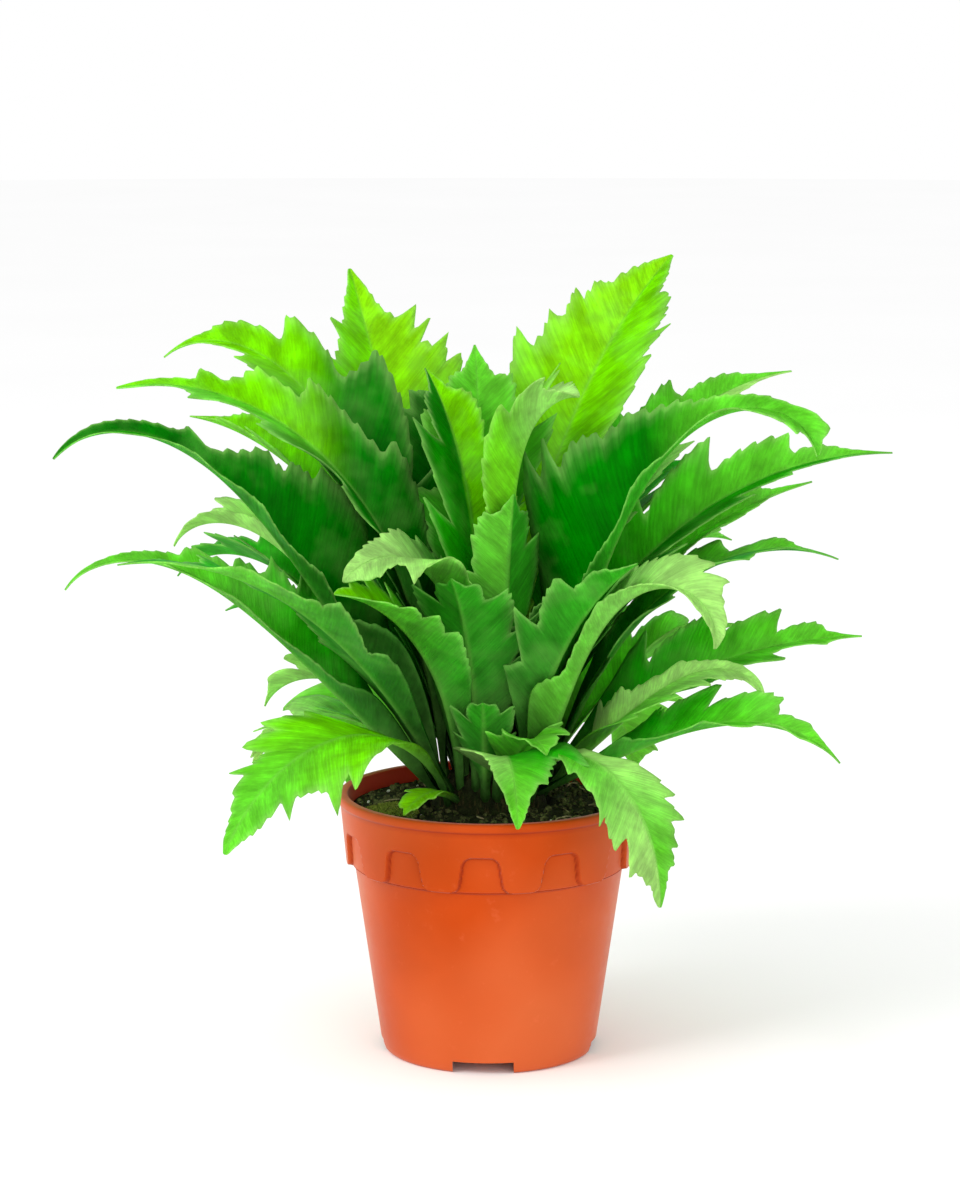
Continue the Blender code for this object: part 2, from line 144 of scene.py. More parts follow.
LEAST_SHARE = 0.75
LEAST_ROWS = 40
SHEET_ROWS = 4
SHEET_COLUMNS = 2
# How much of a margin's wave is kept: the first of these that clears the blades already built.
WAVINESS = (1.0, 0.4, 0.0)
FAR_TRIANGLE = ((9, 9, 9), (9, 9, 8), (9, 8, 9))
# How close the veins' pattern lies along and across a blade.
FINE_VEIN_SCALE = (55.0, 2.2, 1.0)
BROAD_VEIN_SCALE = (16.0, 1.2, 1.0)
# Where things begin and end, as shares of the length or, for the margin, of the half width.
LOBES_SPAN = (0.12, 0.92)
TEETH_BEGIN = (0.18, 0.32)
TEETH_END = (0.90, 0.98)
WAVE_BEGINS = (0.12, 0.35)
# The next three place the painted shade at the crown and the painted highlight along the margin.
PAINTED_SHADE_BASE = (0.03, 0.36)
PAINTED_HIGHLIGHT_BEGINS = (0.15, 0.40)
PAINTED_HIGHLIGHT_MARGIN = (0.80, 1.0)
USUAL_TURN = (0.32, 0.82)
RIB_ACROSS = 0.04
LEAN_STEP = 2.5
LEAN_TRIES = 16
SEAT_STEP = 5.0
ROOT_SEARCH = 2.4 * MM
# Columns of a blade's mesh, as shares of the half width.
ACROSS = (0.0, 0.035, 0.08, 0.14, 0.22, 0.32, 0.44, 0.58, 0.72, 0.86, 1.0)

# Tints of the leaves, as the red, green and blue that a colour picker shows. They are partly the leaves' own greens and
# partly painted light and shade: dark for a shaded half, lime for a lit or backlit half, pale partly for an underside
# and partly for a painted reflection of the surround.
TINTS = {
    "k": (0, 84, 6),
    "d": (0, 134, 0),
    "m": (34, 182, 4),
    "b": (112, 218, 50),
    "l": (134, 228, 0),
    "y": (160, 236, 16),
    "p": (184, 236, 132),
}

# Where the tint turns along the frond, for those that differ from the usual turn.
TINT_TURNS = {8: (0.52, 0.68), 9: (0.60, 0.75), 12: (0.60, 0.80), 28: (0.72, 0.90)}

Frond = namedtuple("Frond", "seat length rise droop curl half_width peak fold roll tints lobes notch wave")
# seat, rise, droop, fold and roll in degrees, length and half_width in mm, then the tints of the left
# half and of the right half at the stalk and at the tip, the number of lobes on each side, how deep the
# notches go as a share of the width, and how far the margin waves in mm. The imported frond gives the azimuth.
# The halves' tints hold painted light and shade: a folded frond's lit half is tinted lighter and its shaded half
# darker.
FRONDS = [
    # Top and left side.
    Frond(70, 236, 86, 28, 1.0, 28, 0.58, 30, -15, "lyll", 5, 0.30, 1.6),
    Frond(60, 208, 66, 63, 3.0, 30, 0.64, 18, 0, "llyy", 5, 0.34, 1.5),
    Frond(26, 136, 69, -61, 0.8, 23, 0.62, 10, 10, "lblb", 3, 0.55, 2.0),
    Frond(38, 227, 57, -52, 5.0, 31, 0.42, 45, 40, "dmdd", 6, 0.22, 1.2),
    Frond(28, 187, 46, -58, 5.0, 21, 0.42, 40, 35, "dbmb", 5, 0.24, 1.2),
    Frond(30, 194, 56, -2, 1.6, 15, 0.50, 8, 0, "dbdm", 4, 0.20, 1.0),
    Frond(38, 160, 58, -70, 5.0, 18, 0.50, 30, -15, "mpmp", 4, 0.24, 1.2),
    Frond(46, 225, 80, -14, 1.8, 25, 0.48, 35, 35, "dbdl", 5, 0.24, 1.4),
    Frond(56, 228, 74, -40, 4.0, 21, 0.50, 30, 30, "dldl", 5, 0.28, 1.4),
    Frond(72, 165, 84, 60, 2.0, 19, 0.60, 20, 0, "mbmb", 4, 0.30, 1.2),
    Frond(58, 168, 80, 60, 2.0, 19, 0.60, 25, 0, "lyly", 4, 0.30, 1.2),
    # Right side, high to low.
    Frond(46, 214, 71, -85, 4.6, 31, 0.40, 45, -40, "dbmb", 5, 0.22, 1.2),
    Frond(56, 215, 84, 8, 1.4, 15, 0.50, 30, -25, "mbmp", 5, 0.26, 1.0),
    Frond(34, 150, 78, -100, 3.6, 24, 0.45, 30, -15, "dpbp", 4, 0.22, 1.0),
    Frond(46, 207, 77, 0, 1.2, 18, 0.46, 35, -30, "mbdm", 5, 0.28, 1.2),
    Frond(40, 172, 76, 12, 0.9, 12, 0.50, 30, -20, "mbmb", 4, 0.26, 1.0),
    Frond(34, 164, 72, -19, 2.0, 13, 0.50, 12, -5, "dbdm", 4, 0.26, 1.0),
    Frond(28, 146, 59, 0, 0.7, 14, 0.50, 30, -30, "mbmb", 4, 0.26, 1.0),
    Frond(28, 112, 43, -97, 4.8, 16, 0.50, 30, -35, "ppbp", 4, 0.34, 1.2),
    Frond(28, 134, 28, -48, 3.0, 11, 0.50, 30, -20, "mbmb", 4, 0.24, 1.0),
    # Hanging over the rim and low in front.
    Frond(30, 92, 58, -69, 2.3, 13, 0.55, 25, -20, "bpbp", 3, 0.26, 0.8),
    Frond(28, 118, 70, -92, 0.8, 19, 0.62, 12, 0, "pbbp", 5, 0.30, 1.4),
    Frond(34, 68, 74, -85, 1.0, 17, 0.60, 15, 0, "mbpb", 3, 0.45, 1.2),
    Frond(26, 34, 32, -36, 1.0, 5, 0.60, 15, 0, "yyyy", 2, 0.20, 0.4),
    # Middle, facing the front.
    Frond(58, 134, 89, -48, 2.0, 25, 0.48, 25, 20, "bpmp", 4, 0.26, 1.4),
    Frond(44, 118, 84, 10, 1.1, 19, 0.60, 25, 25, "mbml", 4, 0.30, 1.4),
    Frond(58, 150, 78, 74, 2.0, 26, 0.60, 25, 0, "ddll", 3, 0.20, 1.4),
    Frond(76, 158, 88, -10, 7.0, 15, 0.62, 25, 0, "lplp", 4, 0.26, 1.0),
    Frond(60, 150, 72, 50, 2.0, 20, 0.62, 25, 0, "llyy", 4, 0.34, 1.6),
    Frond(60, 110, 88, 76, 2.0, 15, 0.62, 25, 0, "mmdb", 3, 0.26, 1.0),
    Frond(42, 74, 86, 64, 1.5, 13, 0.66, 20, 0, "lldd", 3, 0.26, 1.0),
    Frond(30, 50, 76, -40, 1.5, 10, 0.60, 20, 0, "bbbb", 3, 0.30, 0.8),
    Frond(44, 96, 86, 40, 1.5, 18, 0.56, 20, 0, "dmdm", 4, 0.24, 1.2),
    Frond(30, 42, 84, 50, 1.5, 9, 0.60, 20, 0, "dmdm", 3, 0.26, 0.6),
    # Back.
    Frond(28, 172, 50, -50, 3.0, 22, 0.50, 30, 0, "dmdm", 5, 0.28, 1.2),
    Frond(38, 158, 60, -20, 2.0, 22, 0.50, 30, 0, "mbmb", 5, 0.28, 1.2),
    Frond(28, 122, 52, -60, 3.0, 19, 0.55, 30, 0, "bbbb", 4, 0.30, 1.2),
    Frond(40, 130, 70, -20, 2.0, 21, 0.50, 35, 0, "mlml", 4, 0.28, 1.2),
    Frond(28, 122, 52, -50, 3.0, 19, 0.50, 30, 0, "mbmb", 4, 0.30, 1.2),
    Frond(38, 162, 56, -20, 2.0, 22, 0.50, 30, 0, "dbdb", 5, 0.28, 1.2),
    Frond(28, 118, 45, -70, 3.0, 17, 0.55, 30, 0, "bbbb", 4, 0.30, 1.0),
    Frond(52, 195, 70, 5, 1.8, 20, 0.55, 30, 0, "mlml", 5, 0.28, 1.2),
    Frond(46, 135, 66, 10, 2.0, 20, 0.55, 30, 0, "mbmb", 4, 0.28, 1.2),
    Frond(26, 120, 65, -85, 1.0, 18, 0.60, 15, 0, "bbbb", 4, 0.34, 1.2),
    Frond(26, 125, 62, -90, 1.0, 19, 0.60, 15, 0, "bbbb", 4, 0.34, 1.2),
    Frond(26, 96, 58, -70, 1.2, 16, 0.60, 15, 0, "bpbp", 3, 0.34, 1.0),
    # Fillers between the rings.
    Frond(50, 116, 82, 40, 1.5, 16, 0.58, 25, 0, "dmdm", 4, 0.26, 1.2),
    Frond(46, 160, 76, 30, 2.0, 20, 0.58, 25, 0, "mlml", 4, 0.28, 1.2),
    Frond(48, 160, 74, 25, 2.0, 20, 0.58, 25, 0, "mdll", 4, 0.28, 1.2),
    Frond(42, 140, 66, -10, 2.0, 19, 0.55, 25, 0, "dmdm", 4, 0.28, 1.2),
    Frond(46, 160, 70, 5, 2.0, 18, 0.55, 25, 0, "dmdm", 4, 0.28, 1.2),
]

# Outlines of the fronds that show most: for the left half and for the right half, how far the vein
# reaches in mm, by the percentage of the midrib where it leaves. The other fronds get generic lobes.
OUTLINES = {
    1: (
        [(25, 4), (40, 18), (50, 30), (57, 37), (58, 28), (62, 26), (65, 28), (67, 22), (73, 24), (74, 19),
         (80, 18), (81, 14), (87, 10), (95, 4.5), (100, 0.4)],
        [(25, 4), (40, 14), (50, 24), (60, 31), (62, 26), (67, 31), (69, 23), (74, 22), (80, 19), (82, 14),
         (88, 9), (95, 4), (100, 0.4)],
    ),
    2: (
        [(25, 4), (40, 16), (52, 30), (60, 41), (62, 29), (69, 36), (70, 25), (76, 20), (81, 21), (83, 12),
         (90, 8), (97, 3), (100, 0.4)],
        [(25, 4), (40, 17), (52, 28), (64, 38), (66, 30), (70, 33), (71, 26), (74, 22), (76, 29), (77, 21),
         (81, 23.5), (83, 14), (88, 8), (95, 4), (100, 0.4)],
    ),
    3: (
        [(12, 3), (22, 12), (32, 26), (40, 38), (44, 46), (46, 31), (49, 33), (53, 44), (55, 29), (60, 23),
         (66, 21), (70, 26), (72, 16), (80, 12), (90, 6), (98, 2), (100, 0.4)],
        [(12, 3), (22, 10), (35, 23.5), (39, 19), (46, 25), (49, 19), (56, 23.5), (58, 15), (66, 12), (69, 16),
         (71, 11), (76, 10), (85, 6), (95, 3), (100, 0.4)],
    ),
    4: (
        [(15, 3), (30, 9), (40, 15), (43, 12), (55, 16), (58, 11), (70, 11), (73, 7), (85, 5), (95, 3), (100, 0.4)],
        [(14, 3), (22, 14), (30, 30), (36, 40), (40, 38), (41, 31), (44, 38), (46, 27), (52, 24), (54, 19),
         (58, 20), (63, 13), (66, 10), (70, 6), (74, 9), (76, 6), (81, 5.5), (90, 4), (100, 0.4)],
    ),
    5: (
        [(10, 2.4), (25, 6), (38, 8), (50, 9), (53, 7), (65, 10), (73, 10), (75, 5), (90, 2.5), (100, 0.4)],
        [(10, 3), (25, 14), (33, 26), (41, 25), (43, 19), (49, 23), (51, 16), (57, 16), (60, 11), (70, 10),
         (72, 6), (80, 4), (89, 2), (100, 0.4)],
    ),
    7: (
        [(10, 3), (30, 9), (50, 12), (65, 11), (77, 7), (86, 7), (96, 1.5), (100, 0.4)],
        [(10, 3), (25, 12), (40, 20), (55, 24), (58, 19), (72, 23), (77, 24), (80, 12), (88, 9), (95, 3), (100, 0.4)],
    ),
    8: (
        [(12, 3), (25, 14), (35, 24), (45, 31), (48, 24), (56, 31), (62, 34), (65, 23), (72, 27), (75, 17),
         (81, 18), (83, 10), (90, 6), (96, 3), (100, 0.4)],
        [(12, 3), (25, 12), (35, 22), (45, 26), (48, 19), (56, 20), (62, 22), (65, 13), (72, 16), (76, 10),
         (80, 6), (83, 9), (85, 4), (93, 2.5), (100, 0.4)],
    ),
    12: (
        [(12, 3), (20, 16), (26, 34), (31, 46), (33, 50), (35, 38), (36, 40), (38, 46), (40, 33), (44, 34),
         (49, 29), (51, 25), (58, 22), (62, 17), (69, 12), (72, 9), (80, 6), (88, 5), (93, 9), (96, 4), (100, 0.4)],
        [(15, 3), (30, 9), (41, 12), (50, 11), (60, 12), (63, 9), (70, 12), (80, 13), (89, 16), (91, 9),
         (96, 5), (100, 0.4)],
    ),
    14: (
        [(8, 3), (14, 18), (20, 36), (25, 46), (28, 43), (29, 33), (32, 35), (38, 28), (45, 22), (55, 17),
         (63, 14.5), (68, 15), (74, 16), (76, 11), (79, 14), (84, 8), (94, 4), (100, 0.4)],
        [(10, 3), (30, 6), (46, 9), (60, 12), (68, 14), (80, 10), (92, 4), (100, 0.4)],
    ),
    19: (
        [(5, 5), (12, 12), (23, 16), (26, 10), (35, 12), (40, 8), (54, 6), (60, 7), (69, 4.5), (85, 3), (100, 0.4)],
        [(8, 3), (15, 10), (24, 22), (30, 26), (34, 17), (40, 24), (46, 28), (49, 15), (56, 20), (61, 24),
         (64, 12), (72, 12), (80, 8), (90, 4), (100, 0.4)],
    ),
    22: (
        [(10, 2.4), (25, 5), (38, 9), (45, 14), (53, 19), (55, 14), (60, 15), (64, 16), (66, 11), (70, 11),
         (74, 12), (76, 8), (82, 8), (84, 5), (92, 3), (100, 0.4)],
        [(10, 2.4), (20, 9), (30, 20), (35, 23), (37, 17), (45, 20), (48, 22), (53, 26), (55, 19), (60, 21),
         (64, 22), (66, 15), (72, 16), (77, 17), (79, 11), (86, 8), (88, 6), (95, 3), (100, 0.4)],
    ),
    23: (
        [(5, 6), (12, 16), (20, 24), (30, 27), (36, 29), (40, 18), (50, 15), (61, 13), (64, 9), (75, 6),
         (90, 3), (100, 0.4)],
        [(5, 8), (14, 20), (20, 17), (25, 19), (30, 13), (45, 9), (55, 8.5), (65, 7), (80, 4), (90, 2.5), (100, 0.4)],
    ),
    25: (
        [(10, 3), (25, 12), (40, 18), (50, 20), (60, 28), (70, 34), (74, 38), (76, 22), (86, 18), (92, 9), (100, 0.4)],
        [(10, 3), (22, 14), (30, 24), (38, 26), (42, 19), (50, 22), (58, 16), (66, 14), (75, 10), (85, 6),
         (95, 3), (100, 0.4)],
    ),
    26: (
        [(10, 3), (22, 12), (35, 24), (45, 32), (49, 22), (57, 34), (61, 20), (69, 30), (72, 17), (80, 20),
         (83, 11), (92, 8), (100, 0.4)],
        [(10, 3), (25, 14), (40, 18), (44, 13), (55, 19), (59, 12), (70, 16), (74, 9), (84, 9), (87, 5),
         (95, 3), (100, 0.4)],
    ),
    27: (
        [(10, 3), (20, 14), (30, 30), (40, 44), (47, 47), (49, 35), (57, 32), (60, 39), (64, 33), (70, 33),
         (77, 33), (79, 26), (86, 24), (92, 16), (97, 8), (100, 2)],
        [(10, 3), (20, 8), (35, 14), (50, 16), (60, 16), (69, 16), (80, 25), (84, 20), (92, 13), (97, 6), (100, 2)],
    ),
    28: (
        [(20, 3), (35, 8), (45, 16), (55, 34), (63, 44), (64, 34), (67, 45), (69, 32), (76, 30), (78, 21),
         (86, 16), (93, 8), (100, 0.4)],
        [(20, 3), (40, 8), (55, 14), (68, 20), (76, 24), (78, 17), (86, 22), (88, 12), (95, 5), (100, 0.4)],
    ),
    29: (
        [(12, 3), (25, 10), (40, 18), (52, 26), (66, 32), (68, 22), (74, 24), (83, 30), (85, 18), (92, 12), (100, 0.4)],
        [(12, 3), (25, 8), (40, 14), (55, 20), (59, 14), (70, 18), (74, 11), (84, 12), (87, 8), (93, 7), (100, 0.4)],
    ),
}


def length_setting(name, description, default):
    return bpy.props.FloatProperty(
        name=name, description=description, default=default, subtype="DISTANCE", unit="LENGTH"
    )


def share_setting(name, description, default):
    return bpy.props.FloatProperty(
        name=name, description=description, default=default, subtype="FACTOR", min=0, max=1
    )


def power_setting(name, description, default):
    return bpy.props.FloatProperty(name=name, description=description, default=default, min=0)


def count_setting(name, description, default, least=0):
    return bpy.props.IntProperty(name=name, description=description, default=default, min=least)


def colour_setting(name, description, default):
    return bpy.props.FloatVectorProperty(
        name=name, description=description, default=default, subtype="COLOR", min=0, max=1
    )


class PotSettings(bpy.types.PropertyGroup):
    """Sizes and colour of the pot."""

    rim_diameter: length_setting("Rim diameter", "Outer width of the pot's lip", 2 * POT_HIGH.x)
    height: length_setting("Height", "From the ground to the top of the lip", POT_HIGH.z)
    base_diameter: length_setting("Base diameter", "Outer width of the foot ring", 85 * MM)
    wall: length_setting("Wall", "Thickness of the moulded wall", 1.4 * MM)
    arch_depth: length_setting("Arch depth", "How far the arches are pressed into the collar", 2.0 * MM)
    segments_per_arch: count_setting("Segments per arch", "Segments round the pot for each arch", 56, least=16)
    colour: colour_setting("Plastic", "Colour of the moulded plastic", (0.53, 0.058, 0.004))


class LeafSettings(bpy.types.PropertyGroup):
    """Sizes and finish of the fronds."""

    blade_thickness: length_setting("Blade", "Thickness of the blade away from the midrib", 0.5 * MM)
    rib_thickness: length_setting("Midrib", "Thickness of the stalk where it leaves the crown", 2.4 * MM)
    row_spacing: length_setting("Row spacing", "Distance between the rows of a blade's mesh", 1.2 * MM)
    # Painted shade: the fronds darken towards the crown, where shade falls among the stalks.
    base_painted_shade: share_setting("Base shade", "How much of its colour a leaf keeps where it leaves the crown", 0.22)
    rib_colour: colour_setting("Midrib", "Colour of the midrib and the stalk", (0.26, 0.62, 0.10))
    under_colour: colour_setting("Underside", "Colour that the underside pales towards", (0.28, 0.76, 0.14))
    # Painted sheen: the pale patches stand in for the gloss of the waxy surface.
    painted_sheen_colour: colour_setting("Bloom", "Colour of the pale waxy patches", (0.30, 0.74, 0.14))
    glow: share_setting("Glow", "Share of the light that passes through a blade", 0.40)


class FillingSettings(bpy.types.PropertyGroup):
    """Sizes and colours of the soil, the moss and the crown."""

    crumb_count: count_setting("Crumbs", "Number of loose crumbs on the soil", 900)
    perlite_count: count_setting("Perlite", "Number of pale grains in the soil", 26)
    fibre_count: count_setting("Fibres", "Number of straw and root fibres on the soil", 26)
    tuft_count: count_setting("Moss shoots", "Number of shoots in the moss patch", 900)
    scale_count: count_setting("Crown scales", "Number of scales on the crown", 420)
    soil_colour: colour_setting("Peat", "Colour of the moist peat", (0.007, 0.007, 0.004))
    moss_colour: colour_setting("Moss", "Colour of the moss", (0.13, 0.16, 0.02))


class StageSettings(bpy.types.PropertyGroup):
    """Floor, light and camera."""

    floor_radius: length_setting("Floor radius", "Size of the floor", 6.0)
    sky: power_setting("Surround", "Brightness of the pale surround", 1.0)
    key: power_setting("Key light", "Power of the main soft light", 11.0)
    fill: power_setting("Fill light", "Power of the second soft light", 4.5)


def picked(colour):
    """A colour picker's red, green and blue as the linear values that shaders use."""
    return [((part / 255 + 0.055) / 1.055) ** 2.4 if part > 10 else part / 255 / 12.92 for part in colour]


def smooth_step(value, low, high):
    share = min(1.0, max(0.0, (value - low) / (high - low)))
    return share * share * (3 - 2 * share)


def bell(distance, width):
    """A smooth hump: 1 in the middle, falling off over the width."""
    return math.exp(-((distance / width) ** 2))


def around(turn, radius=1.0, height=0.0):
    """A point at a turn about Z, a radius and a height."""
    return Vector((radius * math.cos(turn), radius * math.sin(turn), height))


def finished(name, bm, materials, replaces=(), smooth=True):
    """Turns a bmesh into a piece that rides on the body and stands for its CAD nodes."""
    mesh = bpy.data.meshes.new(name)
    bm.to_mesh(mesh)
    bm.free()
    piece = bpy.data.objects.new(name, mesh)
    for material in materials:
        mesh.materials.append(material)
    bpy.context.scene.collection.objects.link(piece)
    if smooth:
        mesh.shade_smooth()
    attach(piece, BODY)
    if replaces:
        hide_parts(*replaces)
    return piece


class Recipe:
    """The nodes of one material."""

    def __init__(self, name):
        self.material = bpy.data.materials.new(name)
        self.material.use_nodes = True
        self.tree = self.material.node_tree
        self.tree.nodes.clear()

    def add(self, kind, inputs=None, **settings):
        """Adds a node, sets its options, and sets or links its inputs."""
        node = self.tree.nodes.new("ShaderNode" + kind)
        for name, value in settings.items():
            setattr(node, name, value)
        for name, value in (inputs or {}).items():
            socket = node.inputs[name]
            if isinstance(value, bpy.types.NodeSocket):
                self.tree.links.new(value, socket)
            elif isinstance(value, (tuple, list)) and len(value) == 3 and socket.type == "RGBA":
                socket.default_value = (*value, 1.0)
            else:
                socket.default_value = value
        return node

    def place(self):
        return self.add("TexCoord").outputs["Object"]

    def noise(self, vector, scale, detail=3.0, roughness=0.55):
        inputs = {"Vector": vector, "Scale": scale, "Detail": detail, "Roughness": roughness}
        return self.add("TexNoise", inputs).outputs["Fac"]

    def ramp(self, factor, stops):
        """A colour ramp from (position, colour) stops."""
        node = self.add("ValToRGB", {"Fac": factor})
        elements = node.color_ramp.elements
        while len(elements) < len(stops):
            elements.new(0.5)
        for element, (position, colour) in zip(elements, stops):
            element.position = position
            if not isinstance(colour, (tuple, list)):
                colour = (colour, colour, colour)
            element.color = (*colour[:3], 1.0)
        return node.outputs["Color"]

    def mix(self, factor, first, second, how="MIX"):
        node = self.add("Mix", data_type="RGBA", blend_type=how)
        node.clamp_factor = True
        for socket, value in zip([node.inputs[i] for i in (0, 6, 7)], (factor, first, second)):
            if isinstance(value, bpy.types.NodeSocket):
                self.tree.links.new(value, socket)
            elif isinstance(value, (tuple, list)):
                socket.default_value = (*value[:3], 1.0)
            else:
                socket.default_value = value
        return node.outputs[2]

    def maths(self, how, first, second=0.0):
        node = self.add("Math", operation=how)
        for socket, value in zip(node.inputs, (first, second)):
            if isinstance(value, bpy.types.NodeSocket):
                self.tree.links.new(value, socket)
            else:
                socket.default_value = value
        return node.outputs[0]

    def bump(self, height, strength, distance, normal=None):
        inputs = {"Height": height, "Strength": strength, "Distance": distance}
        if normal is not None:
            inputs["Normal"] = normal
        return self.add("Bump", inputs).outputs["Normal"]

    def finish(self, shader):
        self.add("OutputMaterial", {"Surface": shader})
        return self.material


def plastic_finish(settings):
    """Satin moulded plastic with soft flow marks, dust and a little scuffing, and painted shade in the creases and on
    the inner wall.
    """
    recipe = Recipe("satin_terracotta_plastic")
    place = recipe.place()
    flow = recipe.noise(place, 28.0, 3.0)
    cloud = recipe.noise(place, 9.0, 2.0)
    grain = recipe.noise(place, 2400.0, 2.0)
    scuff = recipe.noise(place, 160.0, 6.0, 0.7)
    base = tuple(settings.colour)
    deep = tuple(part * 0.86 for part in base)
    light = (min(1.0, base[0] * 1.16), base[1] * 2.1, base[2] * 9)
    colour = recipe.mix(recipe.ramp(flow, [(0.35, 0.0), (0.68, 1.0)]), deep, base)
    colour = recipe.mix(recipe.ramp(cloud, [(0.38, 0.0), (0.64, 0.85)]), colour, light)
    dust = recipe.ramp(scuff, [(0.60, 0.0), (0.80, 0.35)])
    colour = recipe.mix(dust, colour, (0.70, 0.15, 0.06))
    # Painted shade: darker along the creases and a deeper red on the inner wall, where shade falls.
    for name, strength, tone in POT_PAINTED_SHADES:
        share = recipe.add("Attribute", attribute_name=name, attribute_type="GEOMETRY").outputs["Fac"]
        colour = recipe.mix(recipe.maths("MULTIPLY", share, strength), colour, tone)
    rough = recipe.ramp(scuff, [(0.3, 0.36), (0.8, 0.52)])
    normal = recipe.bump(grain, 0.25, 0.00003)
    normal = recipe.bump(flow, 0.15, 0.0006, normal)
    inputs = {
        "Base Color": colour,
        "Roughness": rough,
        "Normal": normal,
        "Specular IOR Level": 0.12,
        "Specular Tint": (1.0, 0.65, 0.4),
        "Sheen Weight": 0.30,
        "Sheen Roughness": 0.35,
        "Sheen Tint": (1.0, 0.72, 0.62),
    }
    return recipe.finish(recipe.add("BsdfPrincipled", inputs).outputs[0])


def leaf_finish(settings, under):
    """A waxy leaf: its tint, which carries painted light and shade, oblique side veins, mottling, pale patches of
    painted sheen, and midrib. The underside is paler.
    """
    recipe = Recipe("leaf_underside" if under else "leaf_upper_side")
    place = recipe.place()
    tint = recipe.add("Attribute", attribute_name="tint", attribute_type="GEOMETRY").outputs["Color"]
    rib = recipe.add("Attribute", attribute_name="rib", attribute_type="GEOMETRY").outputs["Fac"]
    blade = recipe.add("UVMap", uv_map="blade").outputs["UV"]
    spread = recipe.add("Mapping", {"Vector": blade, "Scale": FINE_VEIN_SCALE}).outputs[0]
    broad = recipe.add("Mapping", {"Vector": blade, "Scale": BROAD_VEIN_SCALE}).outputs[0]
    fine_veins = recipe.noise(spread, 3.0, 2.0, 0.5)
    broad_veins = recipe.noise(broad, 1.6, 2.0, 0.5)
    mottle = recipe.noise(place, 90.0, 4.0, 0.6)
    speckle = recipe.noise(place, 900.0, 2.0, 0.6)
    colour = tint
    if under:
        colour = recipe.mix(0.14, colour, tuple(settings.under_colour))
    shade = recipe.ramp(broad_veins, [(0.36, 0.84), (0.66, 1.12)])
    colour = recipe.mix(1.0, colour, shade, "MULTIPLY")
    lines = recipe.ramp(fine_veins, [(0.40, 0.91), (0.62, 1.09)])
    colour = recipe.mix(1.0, colour, lines, "MULTIPLY")
    patches = recipe.ramp(mottle, [(0.35, 0.82), (0.70, 1.16)])
    colour = recipe.mix(1.0, colour, patches, "MULTIPLY")
    # Painted sheen: pale patches scattered by noise over the blade.
    painted_sheen = recipe.ramp(recipe.noise(place, 34.0, 3.0, 0.6), [(0.48, 0.0), (0.70, 0.26)])
    colour = recipe.mix(painted_sheen, colour, tuple(settings.painted_sheen_colour))
    colour = recipe.mix(recipe.maths("MULTIPLY", rib, 0.66), colour, tuple(settings.rib_colour))
    smoothest, roughest = (0.52, 0.66) if under else (0.34, 0.48)
    rough = recipe.ramp(speckle, [(0.3, smoothest), (0.8, roughest)])
    height = recipe.mix(0.5, broad_veins, fine_veins)
    normal = recipe.bump(height, 0.55, 0.0010)
    normal = recipe.bump(speckle, 0.20, 0.00012, normal)
    inputs = {
        "Base Color": colour,
        "Roughness": rough,
        "Normal": normal,
        "Specular IOR Level": 0.05,
        "Specular Tint": (0.45, 1.0, 0.30),
        "Coat Weight": 0.0 if under else 0.03,
        "Coat Roughness": 0.22,
    }
    surface = recipe.add("BsdfPrincipled", inputs).outputs[0]
    through = recipe.mix(1.0, colour, (1.0, 1.0, 0.45), "MULTIPLY")
    glow = recipe.add("BsdfTranslucent", {"Color": through, "Normal": normal}).outputs[0]
    both = recipe.add("MixShader", {"Fac": settings.glow})
    recipe.tree.links.new(surface, both.inputs[1])
    recipe.tree.links.new(glow, both.inputs[2])
    return recipe.finish(both.outputs[0])


def crumbly_finish(name, dark, light, scale, rough=0.9, depth=0.0006):
    """A matt, crumbly finish in two colours, for soil, grains, fibres, scales and moss."""
    recipe = Recipe(name)
    place = recipe.place()
    clod = recipe.noise(place, scale, 5.0, 0.65)
    grit = recipe.noise(place, scale * 6, 3.0, 0.6)
    colour = recipe.ramp(clod, [(0.36, dark), (0.70, light)])
    fleck = recipe.ramp(grit, [(0.35, 0.6), (0.72, 1.5)])
    colour = recipe.mix(1.0, colour, fleck, "MULTIPLY")
    normal = recipe.bump(grit, 0.8, depth)
    inputs = {
        "Base Color": colour,
        "Roughness": rough,
        "Normal": normal,
        "Specular IOR Level": 0.06,
    }
    return recipe.finish(recipe.add("BsdfPrincipled", inputs).outputs[0])


def blade_share(along, peak, sharpness):
    """Share of the blade's half width at a point along the frond."""
    rise = sharpness * peak
    fall = sharpness * (1 - peak)
    return (along / peak) ** rise * ((1 - along) / (1 - peak)) ** fall


def half_width(frond, along, sharpness=BLADE_SHARPNESS, widening=1.0):
    """Half width of the frond without its lobes."""
    stalk = STALK_WIDTH / 2 * (1 - along)
    wide = widening * frond.half_width * MM * blade_share(along, frond.peak, sharpness)
    return math.hypot(stalk, wide) + TIP_WIDTH / 2 * along


